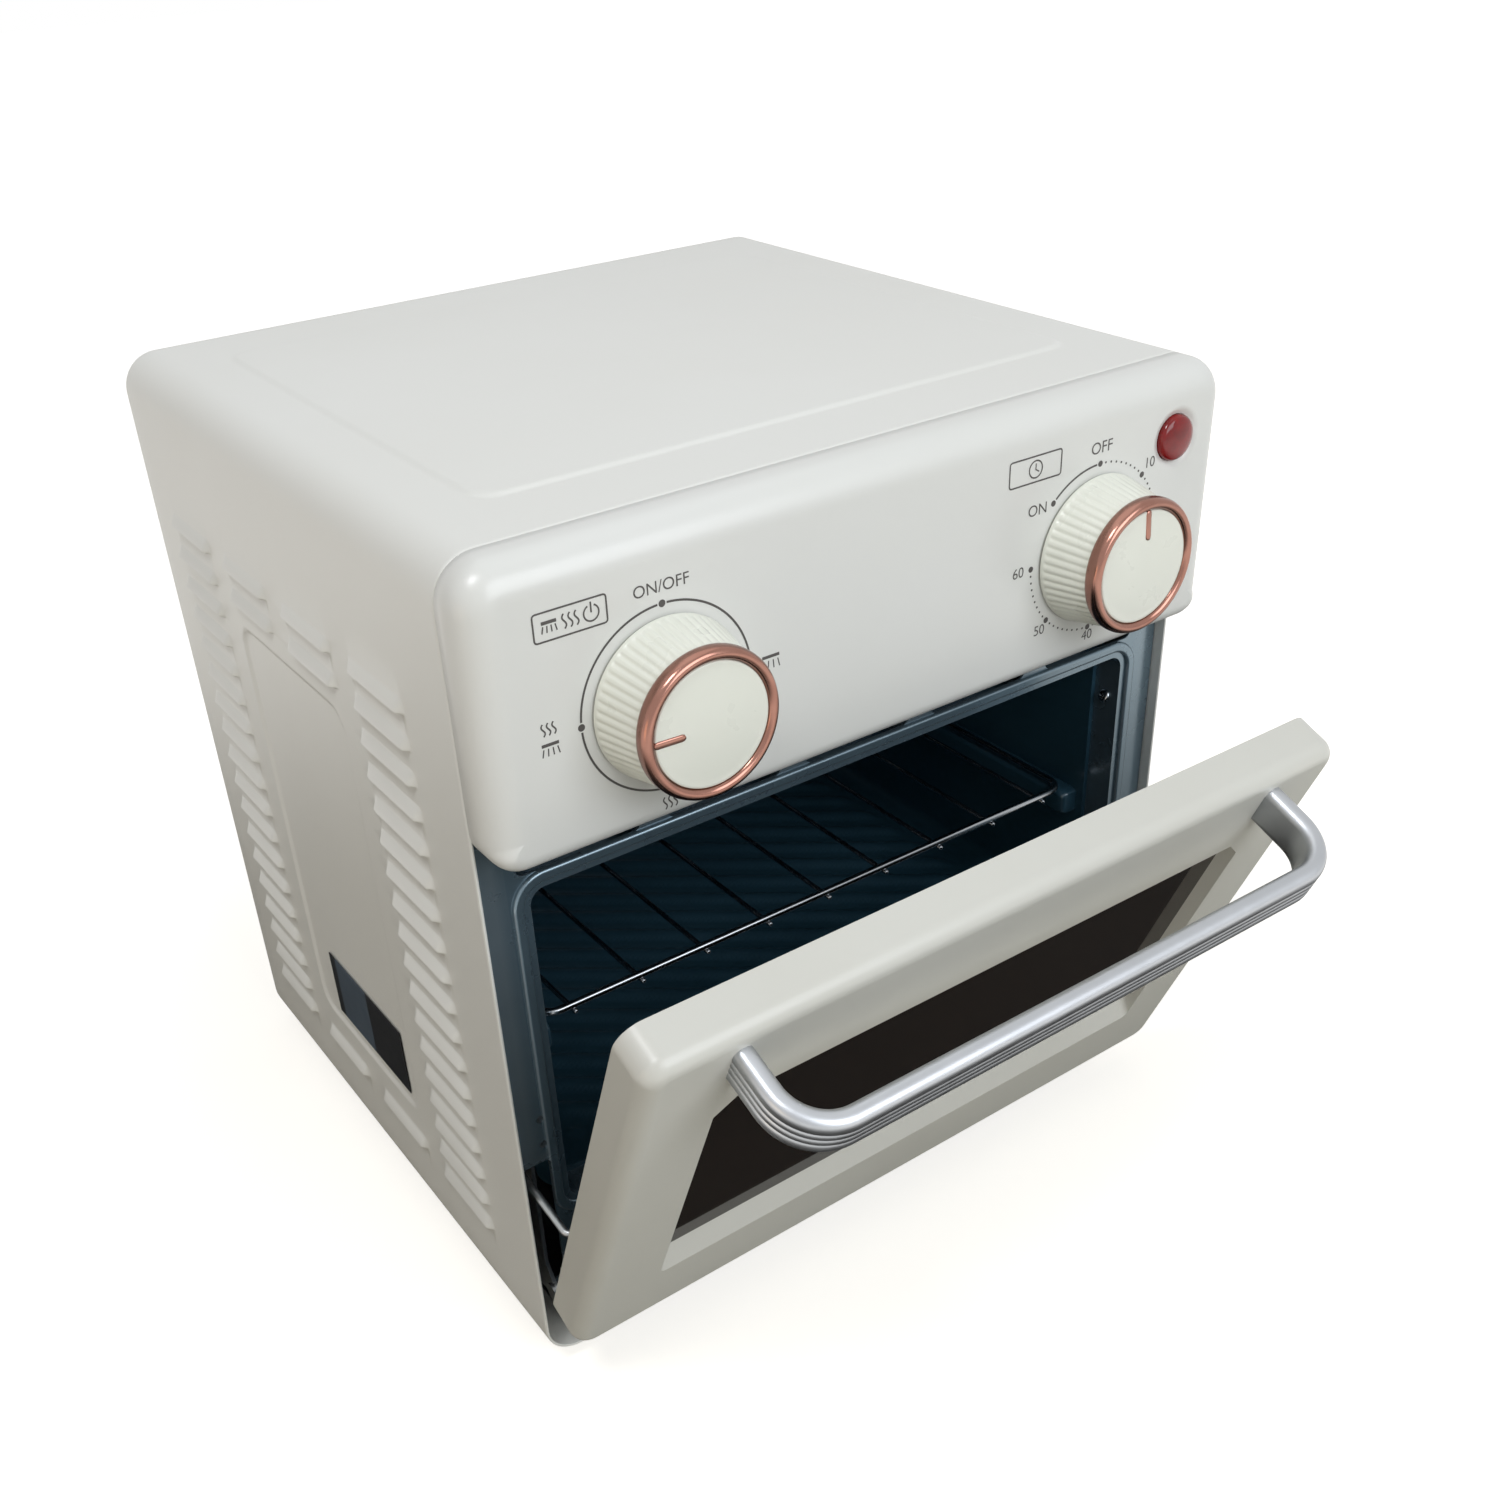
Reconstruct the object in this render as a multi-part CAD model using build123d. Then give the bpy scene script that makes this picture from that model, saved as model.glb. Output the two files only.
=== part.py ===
from build123d import *
import math
import os

# Dish sterilizer cabinet: a painted steel box with a moulded control panel, a
# glass door that drops forward on two pins, a dark cavity with one wire rack,
# and a fan, heater and ultraviolet lamp behind and above the cavity.
# Millimetres. X right, Y back, Z up. The origin is on the ground, under the
# middle of the shell. Helpers take y from the shell's front edge and z from
# the shell's underside.

# ---- driving dimensions ---------------------------------------------------
SHELL_W = 320.0            # outer shell, left to right
SHELL_D = 284.0            # outer shell, front edge to rear edge
SHELL_H = 336.0            # outer shell, underside to top
SHELL_R = 15.0             # outer corner radius of the wrap
SHEET = 1.0                # sheet steel
FIT = 0.3                  # gap round a part that drops into another
REAR_LIP = 10.0            # rear flange of the shell, turned inwards
SIDE_FLANGE = 40.0         # width of each bottom flange of the shell

FOOT_H = 6.0
FOOT_R = 11.0
FOOT_INSET_X = 35.0
FOOT_INSET_Y = 34.0
FOOT_STUD_R = 3.0

PANEL_H = 102.4            # control panel, down from the top of the shell
PANEL_T = 17.2             # how far it stands in front of the shell
PANEL_EDGE_R = 8.0
PANEL_LOWER_R = 12.0       # its two lower corners, seen from the front
PANEL_WALL = 2.6
PANEL_TONGUE = 2.4         # thickness of the rim that enters the shell
BOSS_R = 4.0
SCREW_R = 1.5
SCREW_HEAD_R = 2.8
SCREW_HEAD_T = 1.8

KNOB_IN = 66.3             # knob centres, in from the sides of the shell
KNOB_DROP = 58.0           # knob centres below the top of the shell
KNOB_GAP = 0.7             # running gap between knob and panel
KNOB_SKIRT_R = 28.0
KNOB_NECK_R = 24.2
KNOB_SKIRT_L = 20.0
KNOB_FLUTES = 54
FLUTE_DEPTH = 0.55
KNOB_SHELL = 2.4
RING_R = 24.9              # outside of the copper ring
RING_W = 3.4               # radial width of the ring
RING_L = 6.0
CAP_DOME = 1.0
CAP_SINK = 1.2             # the cap's edge behind the ring's front
CAP_FIT = 0.02             # between cap and ring
POINTER_L = 10.5
POINTER_W = 1.7
POINTER_PROUD = 0.35
SHAFT_R = 3.0
SHAFT_FIT = 0.05
BUSH_R = 4.5
NUT_R = 7.5
NUT_T = 2.5
SWITCH_W = 38.0
SWITCH_L = 30.0
TIMER_W = 46.0
TIMER_L = 36.0
BRACKET_SIDE = 14.3        # bracket plate beyond the timer's body
BRACKET_LOW = 29.0         # and below and above the knob's axis
BRACKET_SCREW_IN = 4.0     # its screws, in from its ends
BRACKET_SCREW_Z = (-22.0, 8.0)
CARRIER_T = 1.2

LAMP_IN = 27.0             # pilot lamp, in from the right side of the shell
LAMP_DROP = 25.5
LAMP_R = 8.6
LAMP_DOME = 2.2
LAMP_BODY_R = 6.5

FRAME_Y = 5.0              # front frame, behind the shell's front edge
FRAME_RIM = 10.0
OPEN_IN = 20.0             # sides of the opening, in from the sides of the shell
OPEN_DROP = 21.6           # top of the opening below the panel
OPEN_BOTTOM = 72.0
OPEN_R = 6.0
OPEN_RETURN = 13.0         # depth of the flange round the opening
BEAD_OFF = 2.6             # bead: distance from the opening
BEAD_W = 4.6
BEAD_H = 1.6
FRAME_BOTTOM = 36.0
SLOT_N = 5
SLOT_BRIDGE = 11.3         # metal left between two slots
SLOT_REACH = 3.85          # the row of slots past the sides of the opening
SLOT_H = 6.0
SLOT_DROP = 11.6           # middle of the slots below the panel
NOTCH_GAP = 0.7            # hinge notch of the frame, inwards of the lug
NOTCH_SIDE = 3.0           # the notch, in from the side of the shell
NOTCH_TOP = 96.0
VENT_DROP = 11.0           # slot under the opening
LINER_SCREW_Y = 12.0
LINER_SCREW_DROP = (87.0, 22.5)

LINER_IN = 2.0             # inside of the liner, within the opening
BACK_ROOM = 59.0           # from the cavity's back wall to the shell's rear edge
LINER_T = 0.8
LINER_FLANGE = 8.0
LINER_R = 8.0
RAIL_W = 8.0
RAIL_H = 12.0
RAIL_FRONT = 22.0
RAIL_END = 9.0             # rail's rear end to the back wall

RACK_DROP = 67.4           # centre of the rack's outer wire below the ceiling
RACK_IN = 6.0              # its side wires, in from the cavity's walls
RACK_FRONT = 25.0
RACK_END = 17.0            # its rear wire to the back wall
RACK_R = 8.0               # its corners
RACK_WIRE_R = 1.6
BAR_WIRE_R = 1.0
BAR_N = 9
BAR_IN = 12.8              # the outer bars, in from the side wires
BAR_PROUD = 2.2            # how far the bars show past the outer wire

DOOR_IN = 3.5              # the door's sides, in from the sides of the shell
DOOR_BOTTOM = 25.0
DOOR_GAP = 3.6             # closed door's top to the panel
DOOR_T = 19.0
DOOR_REAR_GAP = 0.8        # closed door's back to the shell's front edge
DOOR_CORNER_R = 9.5
DOOR_EDGE_R = 6.5
DOOR_WALL = 3.0
DOOR_FACE_T = 6.0          # front wall, and so the depth of the window reveal
DOOR_REST = 22.45          # degrees open in the drawn position
STILE_W = 32.0             # the door on each side of the window
RAIL_LOW_W = 38.5          # below the window
RAIL_TOP_W = 40.0          # above the window
WINDOW_R = 3.5
WINDOW_CHAMFER = 8.0
SILL_RISE = 7.0            # slope of the lower reveal
GLASS_T = 4.0
GLASS_LAP = 6.0
INNER_T = 1.2              # inner frame of the door
GASKET_W = 5.0             # seal between glass and inner frame

HINGE_Y = 4.5
HINGE_UP = 5.0             # pin above the door's lower edge
PIN_R = 2.5
PIN_FIT = 0.06
LUG_R = 5.0
LUG_T = 3.5
LUG_STRIP = 3.2            # depth of the strip between hinge and stay
LUG_IN = 9.3               # inner side of the lug, in from the door's side
BRACKET_GAP = 0.3
BRACKET_T = 1.5
BRACKET_BACK = 60.0
RIVET_R = 1.2
STAY_R = 1.5
STAY_EYE_R = 3.4
STAY_OUT = 2.5             # centre of the rod outside the hinge bracket
STAY_UP = 58.0             # stay pivot above the hinge pin, door closed
STAY_Y = 1.6               # stay pivot behind the shell's front edge
STAY_L = 96.0
GUIDE_Y = 16.0             # guide rollers
ROLLER_R = 2.6
ROLLER_GAP = 1.1

HANDLE_IN = 35.3           # centres of its legs, in from the door's sides
HANDLE_DROP = 16.4         # and below the door's top
HANDLE_OUT = 33.9          # bar centre in front of the door
HANDLE_W = 17.6            # its section, along the door
HANDLE_T = 7.6             # its section, away from the door
HANDLE_R = 18.5           # bend of the section's middle
HANDLE_EDGE_R = 3.4
GROOVE_N = 3
GROOVE_PITCH = 3.0
GROOVE_R = 0.5

LOUVRE_ROWS = 18
LOUVRE_LOW = 45.0          # lowest row
LOUVRE_DROP = 60.65        # highest row below the top of the shell
LOUVRE_H = 7.0
LOUVRE_OUT = 2.4
LOUVRE_LIP = 0.8
LOUVRE_COLUMNS = 4
LOUVRE_L = 43.5
LOUVRE_FRONT = 36.0        # first column from the shell's front edge
LOUVRE_REAR = 27.5         # last column from its rear edge
FIELD_FRONT = 98.0         # recessed field on each side
FIELD_REAR = 88.0
FIELD_LOW = 60.0
FIELD_DROP = 88.0
FIELD_R = 10.0
EMBOSS = 0.6
TOP_FIELD_IN = 34.0        # raised field of the top, in from three sides
TOP_FIELD_FRONT = 33.0
TOP_EMBOSS = 0.9

PLATE_FRONT = 7.0          # blank rating plate, in from the left field's front
PLATE_REAR = 19.0          # and from its rear
PLATE_LOW = 6.0            # and from its lower edge
PLATE_H = 32.0
PLATE_T = 0.3

FAN_R = 46.0
FAN_HUB_R = 13.0
FAN_BLADES = 6
DUCT_R = 50.0
DUCT_L = 26.0
DUCT_T = 1.2
MOTOR_R = 19.0
MOTOR_L = 24.0
MOTOR_SHAFT_R = 2.0
HEATER_W = 64.0
HEATER_H = 36.0
HEATER_T = 9.0
HEATER_SLOTS = 9

UV_R = 8.0
UV_IN = 32.0               # ends of the tube, in from the cavity's walls
UV_FORWARD = 105.0         # tube in front of the back wall
UV_DROP = 16.0             # tube under the ceiling
UV_HOLDER = 18.0
REFLECTOR_W = 44.0

GLAND_IN = 68.0            # gland, in from the right side
GLAND_Z = 34.0
GLAND_R = 8.0
MAGNET_SIDE = 8.0
MAGNET_T = 3.0
BALLAST_L = 88.0
BALLAST_D = 42.0
BALLAST_H = 26.0
CUTOUT_X = 40.0
CUTOUT_R = 8.0
CUTOUT_H = 7.0
ABOVE_BACK = 20.0          # pieces on the ceiling, behind the tube

COVER_SCREW_L = 6.0        # screw lengths under the head
PANEL_SCREW_L = 11.0
BRACKET_SCREW_L = 2.2
HINGE_SCREW_L = 2.6
DOOR_SCREW_L = 8.0
LINER_SCREW_L = 6.0

# ---- derived places -------------------------------------------------------
FRONT = -SHELL_D / 2
BASE = FOOT_H
SIDE = SHELL_W / 2
PANEL_BOTTOM = SHELL_H - PANEL_H
DOOR_TOP = PANEL_BOTTOM - DOOR_GAP
DOOR_BACK = -DOOR_REAR_GAP
DOOR_FRONT = DOOR_BACK - DOOR_T
KNOB_X = SIDE - KNOB_IN
GLAND_X = SIDE - GLAND_IN
KNOB_Z = SHELL_H - KNOB_DROP
BRACKET_W = 2 * (KNOB_X + TIMER_W / 2 + BRACKET_SIDE)   # carries switch and timer
LAMP_X = SIDE - LAMP_IN
LAMP_Z = SHELL_H - LAMP_DROP
OPEN_W = SHELL_W - 2 * OPEN_IN
OPEN_TOP = PANEL_BOTTOM - OPEN_DROP
SLOT_L = (OPEN_W + 2 * SLOT_REACH - (SLOT_N - 1) * SLOT_BRIDGE) / SLOT_N
SLOT_PITCH = SLOT_L + SLOT_BRIDGE
SLOT_Z = PANEL_BOTTOM - SLOT_DROP
VENT_Z = OPEN_BOTTOM - VENT_DROP
CAVITY_W = OPEN_W - 2 * LINER_IN
CAVITY_TOP = OPEN_TOP - LINER_IN
CAVITY_FLOOR = OPEN_BOTTOM + LINER_IN
CAVITY_BACK = SHELL_D - BACK_ROOM
RAIL_BACK = CAVITY_BACK - RAIL_END
RACK_Z = CAVITY_TOP - RACK_DROP
RACK_W = CAVITY_W - 2 * RACK_IN
RACK_BACK = CAVITY_BACK - RACK_END
BAR_PITCH = (RACK_W - 2 * BAR_IN) / (BAR_N - 1)
DOOR_W = SHELL_W - 2 * DOOR_IN
WINDOW_W = DOOR_W - 2 * STILE_W
WINDOW_BOTTOM = DOOR_BOTTOM + RAIL_LOW_W
WINDOW_TOP = DOOR_TOP - RAIL_TOP_W
HINGE_Z = DOOR_BOTTOM + HINGE_UP
LUG_X = DOOR_W / 2 - LUG_IN
HANDLE_X = DOOR_W / 2 - HANDLE_IN
HANDLE_Z = DOOR_TOP - HANDLE_DROP
LOUVRE_PITCH = (SHELL_H - LOUVRE_DROP - LOUVRE_LOW) / (LOUVRE_ROWS - 1)
COLUMN_PITCH = (SHELL_D - LOUVRE_REAR - LOUVRE_L - LOUVRE_FRONT) / (LOUVRE_COLUMNS - 1)
FIELD_Y = (FIELD_FRONT, SHELL_D - FIELD_REAR)
FIELD_Z = (FIELD_LOW, SHELL_H - FIELD_DROP)
PLATE_Y = (FIELD_Y[0] + PLATE_FRONT, FIELD_Y[1] - PLATE_REAR)
PLATE_Z = (FIELD_Z[0] + PLATE_LOW, FIELD_Z[0] + PLATE_LOW + PLATE_H)
TOP_FIELD_X = SIDE - TOP_FIELD_IN
TOP_FIELD_Y = (TOP_FIELD_FRONT, SHELL_D - TOP_FIELD_IN)
FAN_Z = (CAVITY_FLOOR + CAVITY_TOP) / 2
UV_L = CAVITY_W - 2 * UV_IN
UV_Y = CAVITY_BACK - UV_FORWARD
UV_Z = CAVITY_TOP - UV_DROP
FRAME_BACK = FRAME_Y + SHEET
RETURN_END = FRAME_Y + OPEN_RETURN
COVER_Y = SHELL_D - 2 * SHEET
KNOB_BACK = -PANEL_T - KNOB_GAP
KNOB_NECK = KNOB_BACK - KNOB_SKIRT_L
RING_FRONT = KNOB_NECK - RING_L + 1.0
BRACKET_X = LUG_X + LUG_T + BRACKET_GAP
STAY_X = BRACKET_X + BRACKET_T + STAY_OUT
NOTCH_IN = LUG_X - NOTCH_GAP
NOTCH_OUT = SIDE - NOTCH_SIDE
UV_HOLES = (-UV_L / 2 - 4, UV_L / 2 + 4)
MAGNET_X = SLOT_PITCH * 1.5
MAGNET_Z = DOOR_TOP - 8.5


# ---- helpers --------------------------------------------------------------
def block(x0, x1, y0, y1, z0, z1):
    """A box between two corners; in X either side may come first."""
    size = Box(abs(x1 - x0), y1 - y0, z1 - z0)
    return Pos((x0 + x1) / 2, FRONT + (y0 + y1) / 2, BASE + (z0 + z1) / 2) * size


def along_x(radius, x0, x1, y, z):
    """A cylinder that runs left to right; either end may come first."""
    tube = Rot(0, 90, 0) * Cylinder(radius, abs(x1 - x0))
    return Pos((x0 + x1) / 2, FRONT + y, BASE + z) * tube


def along_y(radius, x, y0, y1, z):
    """A cylinder that runs front to back."""
    tube = Rot(90, 0, 0) * Cylinder(radius, y1 - y0)
    return Pos(x, FRONT + (y0 + y1) / 2, BASE + z) * tube


def along_z(radius, x, y, z0, z1):
    """A cylinder that stands upright."""
    return Pos(x, FRONT + y, BASE + (z0 + z1) / 2) * Cylinder(radius, z1 - z0)


def slab(face, y0, y1):
    """A face drawn in X and Z, given depth from y0 back to y1."""
    return Pos(0, FRONT + y1, 0) * extrude(Plane.XZ * face, amount=y1 - y0)


def upright(width, z0, z1, radius):
    """A rounded rectangle in X and Z, centred left to right."""
    shape = RectangleRounded(width, z1 - z0, radius)
    return Pos(0, BASE + (z0 + z1) / 2) * shape


def shell_face(inset):
    """The shell's front outline, drawn in by inset."""
    radius = max(SHELL_R - inset, 1.0)
    return upright(SHELL_W - 2 * inset, inset, SHELL_H - inset, radius)


def sideways(points, x0, x1):
    """An outline of (y, z) points, given width from x0 to x1."""
    corners = [(FRONT + y, BASE + z) for y, z in points]
    face = make_face(Polyline(*corners, close=True))
    return Pos(x0, 0, 0) * extrude(Plane.YZ * face, amount=x1 - x0)


def both_sides(make):
    """A piece and its mirror image in the middle plane."""
    piece = make()
    return [piece, mirror(piece, Plane.YZ)]


def door_pose(shape):
    """Turns a piece drawn on the closed door to the drawn position."""
    pin = Axis((0, FRONT + HINGE_Y, BASE + HINGE_Z), (1, 0, 0))
    return shape.rotate(pin, DOOR_REST)


def save(name, *shapes):
    """Writes one named piece."""
    solids = [solid for shape in shapes for solid in shape.solids()]
    out = solids[0] if len(solids) == 1 else Compound(children=solids)
    out.label = name
    os.makedirs("parts", exist_ok=True)
    export_step(out, os.path.join("parts", name + ".step"))


def screw(x, y, z, length):
    """A pan screw that enters forwards from y, with its head behind y."""
    return along_y(SCREW_HEAD_R, x, y, y + SCREW_HEAD_T, z) + along_y(SCREW_R, x, y - length, y, z)


# ---- cabinet shell --------------------------------------------------------
def louvre_spans():
    """Every louvre of one side, as (y0, y1, z)."""
    rows = [LOUVRE_LOW + i * LOUVRE_PITCH for i in range(LOUVRE_ROWS)]
    spans = []
    for number in range(LOUVRE_COLUMNS):
        y0 = LOUVRE_FRONT + number * COLUMN_PITCH
        outer = number in (0, LOUVRE_COLUMNS - 1)
        kept = rows if outer else [rows[0]] + rows[-2:]
        spans += [(y0, y0 + LOUVRE_L, z) for z in kept]
    return spans


def louvre_face(points):
    """A louvre section of (distance from the wall's face, z) points."""
    return make_face(Polyline(*[(SIDE + out, BASE + z) for out, z in points], close=True))


def louvre(y0, y1, z):
    """One pressed louvre: the hood outside, and the space cut under it."""
    top = z + LOUVRE_H / 2
    low = z - LOUVRE_H / 2
    hood = slab(louvre_face([(-SHEET / 2, top), (0, top), (LOUVRE_OUT, low), (-SHEET / 2, low)]), y0, y1)
    inside = [(-SHEET - 0.2, top - 1.5), (-0.1, top - 1.5),
              (LOUVRE_OUT - LOUVRE_LIP, low - 0.1), (-SHEET - 0.2, low - 0.1)]
    space = slab(louvre_face(inside), y0 + LOUVRE_LIP, y1 - LOUVRE_LIP)
    return hood, space


def side_field(out, depth):
    """The rounded field of one side, as a pad whose face is at x = out."""
    y0, y1 = FIELD_Y
    z0, z1 = FIELD_Z
    shape = RectangleRounded(y1 - y0, z1 - z0, FIELD_R)
    place = Pos(out - depth, FRONT + (y0 + y1) / 2, BASE + (z0 + z1) / 2)
    return place * extrude(Plane.YZ * shape, amount=depth)


def top_field(low, high):
    """The raised field of the top, between two heights."""
    y0, y1 = TOP_FIELD_Y
    shape = RectangleRounded(2 * TOP_FIELD_X, y1 - y0, FIELD_R)
    return Pos(0, FRONT + (y0 + y1) / 2, BASE + low) * extrude(shape, amount=high - low)


def foot_places():
    """The centres of the four feet, as (x, y)."""
    x = SIDE - FOOT_INSET_X
    return [(sx * x, y) for sx in (-1, 1) for y in (FOOT_INSET_Y, SHELL_D - FOOT_INSET_Y)]


def cover_screw_places():
    """The screws of the rear cover, as (x, z), in the middle of the rear lip."""
    x = SIDE - SHEET - REAR_LIP / 2
    top = SHELL_H - SHEET - REAR_LIP / 2
    sides = [(sx * x, z) for sx in (-1, 1) for z in (SHELL_H * 0.2, SHELL_H * 0.72)]
    return sides + [(sx * SHELL_W / 4, top) for sx in (-1, 1)]


def outer_shell():
    """The wrap: top, sides, rounded corners, bottom flanges and rear lip."""
    wrap = slab(shell_face(0), 0, SHELL_D) - slab(shell_face(SHEET), -1, SHELL_D - SHEET)
    wrap -= slab(shell_face(SHEET + REAR_LIP), SHELL_D - 2 * SHEET, SHELL_D + 1)
    hatch = SIDE - SIDE_FLANGE
    wrap -= block(-hatch, hatch, -1, SHELL_D + 1, -1, SHEET + REAR_LIP + 1)
    wrap += top_field(SHELL_H - SHEET, SHELL_H + TOP_EMBOSS)
    wrap -= top_field(SHELL_H - SHEET - 0.1, SHELL_H - SHEET + TOP_EMBOSS)
    pad_t = SHEET / 2 + EMBOSS
    wrap += [side_field(SIDE - SHEET / 2, pad_t), side_field(-SIDE + SHEET + EMBOSS, pad_t)]
    wrap -= [side_field(SIDE + 0.1, EMBOSS + 0.1), side_field(-SIDE + EMBOSS, EMBOSS + 0.1)]
    hoods, spaces = [], []
    for span in louvre_spans():
        hood, space = louvre(*span)
        hoods += [hood, mirror(hood, Plane.YZ)]
        spaces += [space, mirror(space, Plane.YZ)]
    wrap = wrap + hoods
    wrap = wrap - spaces
    for x, y in foot_places():
        wrap -= along_z(FOOT_STUD_R + 0.1, x, y, -1, SHEET + 1)
    for x, z in cover_screw_places():
        wrap -= along_y(SCREW_R + 0.1, x, SHELL_D - 3, SHELL_D + 1, z)
    return wrap


def base_pan():
    """The floor plate on the shell's flanges, turned up at front and rear."""
    half = SIDE - SHELL_R
    y0, y1 = 12.0, COVER_Y
    pan = block(-half, half, y0, y1, SHEET, 2 * SHEET)
    pan += block(-half, half, y0, y0 + SHEET, SHEET, FRAME_BOTTOM - 4)
    pan += block(-half, half, y1 - SHEET, y1, SHEET, 22.0)
    for x, y in foot_places():
        pan -= along_z(FOOT_STUD_R + 0.1, x, y, 0, 3 * SHEET)
    vents = [block(x, x + 60, y, y + 4, 0, 3 * SHEET) for x in (-75, 15) for y in range(90, 200, 14)]
    pan -= vents
    return pan


def foot(x, y):
    """A rubber foot with its push-in stud."""
    pad = Pos(x, FRONT + y, FOOT_H / 2) * Cone(FOOT_R - 2, FOOT_R, FOOT_H)
    stud = along_z(FOOT_STUD_R, x, y, 0, 2 * SHEET + 0.2)
    barb = Pos(x, FRONT + y, BASE + 2 * SHEET + 1.7) * Cone(FOOT_STUD_R + 1, FOOT_STUD_R - 1, 3)
    return pad + stud + barb


def rear_cover():
    """The flat back, inside the shell's rear lip, with vents and a cord hole."""
    plate = slab(shell_face(SHEET + FIT), COVER_Y, COVER_Y + SHEET)
    slots = []
    for column in (-1, 0, 1):
        for row in range(9):
            x = column * 34
            z = FAN_Z - 44 + row * 11
            slots.append(block(x - 13, x + 13, COVER_Y - 1, COVER_Y + 3, z - 2, z + 2))
    for column in range(-4, 5):
        x = column * 22
        slots.append(block(x - 8, x + 8, COVER_Y - 1, COVER_Y + 3, SHELL_H - 62, SHELL_H - 58))
    plate -= slots
    plate -= along_y(GLAND_R, GLAND_X, COVER_Y - 1, COVER_Y + 3, GLAND_Z)
    for x, z in cover_screw_places():
        plate -= along_y(SCREW_R + 0.1, x, COVER_Y - 1, COVER_Y + 3, z)
    return plate


def cord_gland():
    """Strain relief in the rear cover; the cord itself is not part of this."""
    flange = along_y(GLAND_R + 3.5, GLAND_X, COVER_Y + SHEET, COVER_Y + SHEET + 4, GLAND_Z)
    neck = along_y(GLAND_R - 0.1, GLAND_X, COVER_Y - 9, COVER_Y + SHEET, GLAND_Z)
    sleeve = along_y(GLAND_R - 1.5, GLAND_X, COVER_Y + SHEET, COVER_Y + 16, GLAND_Z)
    bore = along_y(3.4, GLAND_X, COVER_Y - 12, COVER_Y + 20, GLAND_Z)
    return flange + neck + sleeve - bore


# ---- front frame and cavity -----------------------------------------------
def panel_screw_places():
    """Screws through the frame into the panel's bosses, as (x, z)."""
    low = PANEL_BOTTOM + 14.0
    high = SHELL_H - 16.0
    return [(sx * x, z) for sx in (-1, 1) for x, z in ((SIDE - 14.0, low), (SHELL_W / 8, high))]


def bracket_screw_places():
    """Screws of the control bracket, as (x, z)."""
    return [(sx * (BRACKET_W / 2 - BRACKET_SCREW_IN), KNOB_Z + z) for sx in (-1, 1) for z in BRACKET_SCREW_Z]


def hinge_screw_places():
    """Screws of the hinge brackets, as (x, z)."""
    return [(sx * (NOTCH_IN + 1.2), NOTCH_TOP + rise) for sx in (-1, 1) for rise in (8.0, 20.0)]


def opening(grow):
    """The outline of the opening, grown outwards."""
    return upright(OPEN_W + 2 * grow, OPEN_BOTTOM - grow, OPEN_TOP + grow, OPEN_R + grow)


def front_frame():
    """The face frame: beaded opening, five slots, hinge notches, rear rims."""
    outline = shell_face(SHEET + FIT)
    plate = slab(outline, FRAME_Y, FRAME_BACK)
    plate += slab(outline, FRAME_Y, FRAME_Y + FRAME_RIM) - slab(shell_face(2 * SHEET + FIT), FRAME_Y - 1, 99)
    bead = slab(opening(BEAD_OFF + BEAD_W) - opening(BEAD_OFF), FRAME_Y - BEAD_H, FRAME_Y)
    crest = bead.edges().filter_by_position(Axis.Y, FRONT + FRAME_Y - BEAD_H, FRONT + FRAME_Y - BEAD_H)
    plate += fillet(crest, BEAD_H * 0.9)
    plate += slab(opening(SHEET), FRAME_Y, RETURN_END)
    plate -= slab(opening(0), -5, RETURN_END + 1)
    for number in range(SLOT_N):
        x = (number - (SLOT_N - 1) / 2) * SLOT_PITCH
        shape = Pos(x, BASE + SLOT_Z) * SlotOverall(SLOT_L, SLOT_H)
        plate -= slab(shape, FRAME_Y - 1, FRAME_BACK + 1)
    vent = Pos(0, BASE + VENT_Z) * SlotOverall(OPEN_W - 8, SLOT_H)
    plate -= slab(vent, FRAME_Y - 1, FRAME_BACK + 1)
    plate -= block(-SIDE, SIDE, -1, 99, -1, FRAME_BOTTOM)
    for side in (-1, 1):
        plate -= block(side * NOTCH_IN, side * NOTCH_OUT, -1, 99, FRAME_BOTTOM - 1, NOTCH_TOP)
    window = upright(BRACKET_W - 16, PANEL_BOTTOM + 12, SHELL_H - 22, 4)
    plate -= slab(window, FRAME_Y - 1, FRAME_BACK + 1)
    for x, z in panel_screw_places() + bracket_screw_places() + hinge_screw_places():
        plate -= along_y(SCREW_R + 0.1, x, FRAME_Y - 1, FRAME_BACK + 1, z)
    half = OPEN_W / 2
    for side, z in liner_screw_places():
        plate -= along_x(SCREW_R + 0.1, side * (half - 2), side * (half + 3), LINER_SCREW_Y, z)
    return plate


def liner_screw_places():
    """Screws through the flange of the opening into the liner's tabs, as (side, z)."""
    return [(side, OPEN_TOP - drop) for side in (-1, 1) for drop in LINER_SCREW_DROP]


def liner_screw(side, z):
    """A pan screw that enters the side of the opening from inside it."""
    half = OPEN_W / 2
    head = along_x(SCREW_HEAD_R, side * (half - SCREW_HEAD_T), side * half, LINER_SCREW_Y, z)
    return head + along_x(SCREW_R, side * half, side * (half + LINER_SCREW_L), LINER_SCREW_Y, z)


def liner_tab(side, z):
    """A tab of the liner outside the flange of the opening."""
    inner = OPEN_W / 2 + SHEET
    outer = inner + LINER_T
    return block(side * inner, side * outer, LINER_SCREW_Y - 5, RETURN_END + LINER_T, z - 6, z + 6)


def cavity_outline(grow):
    """The liner's inside outline, grown outwards."""
    return upright(CAVITY_W + 2 * grow, CAVITY_FLOOR - grow, CAVITY_TOP + grow, LINER_R + grow)


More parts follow.
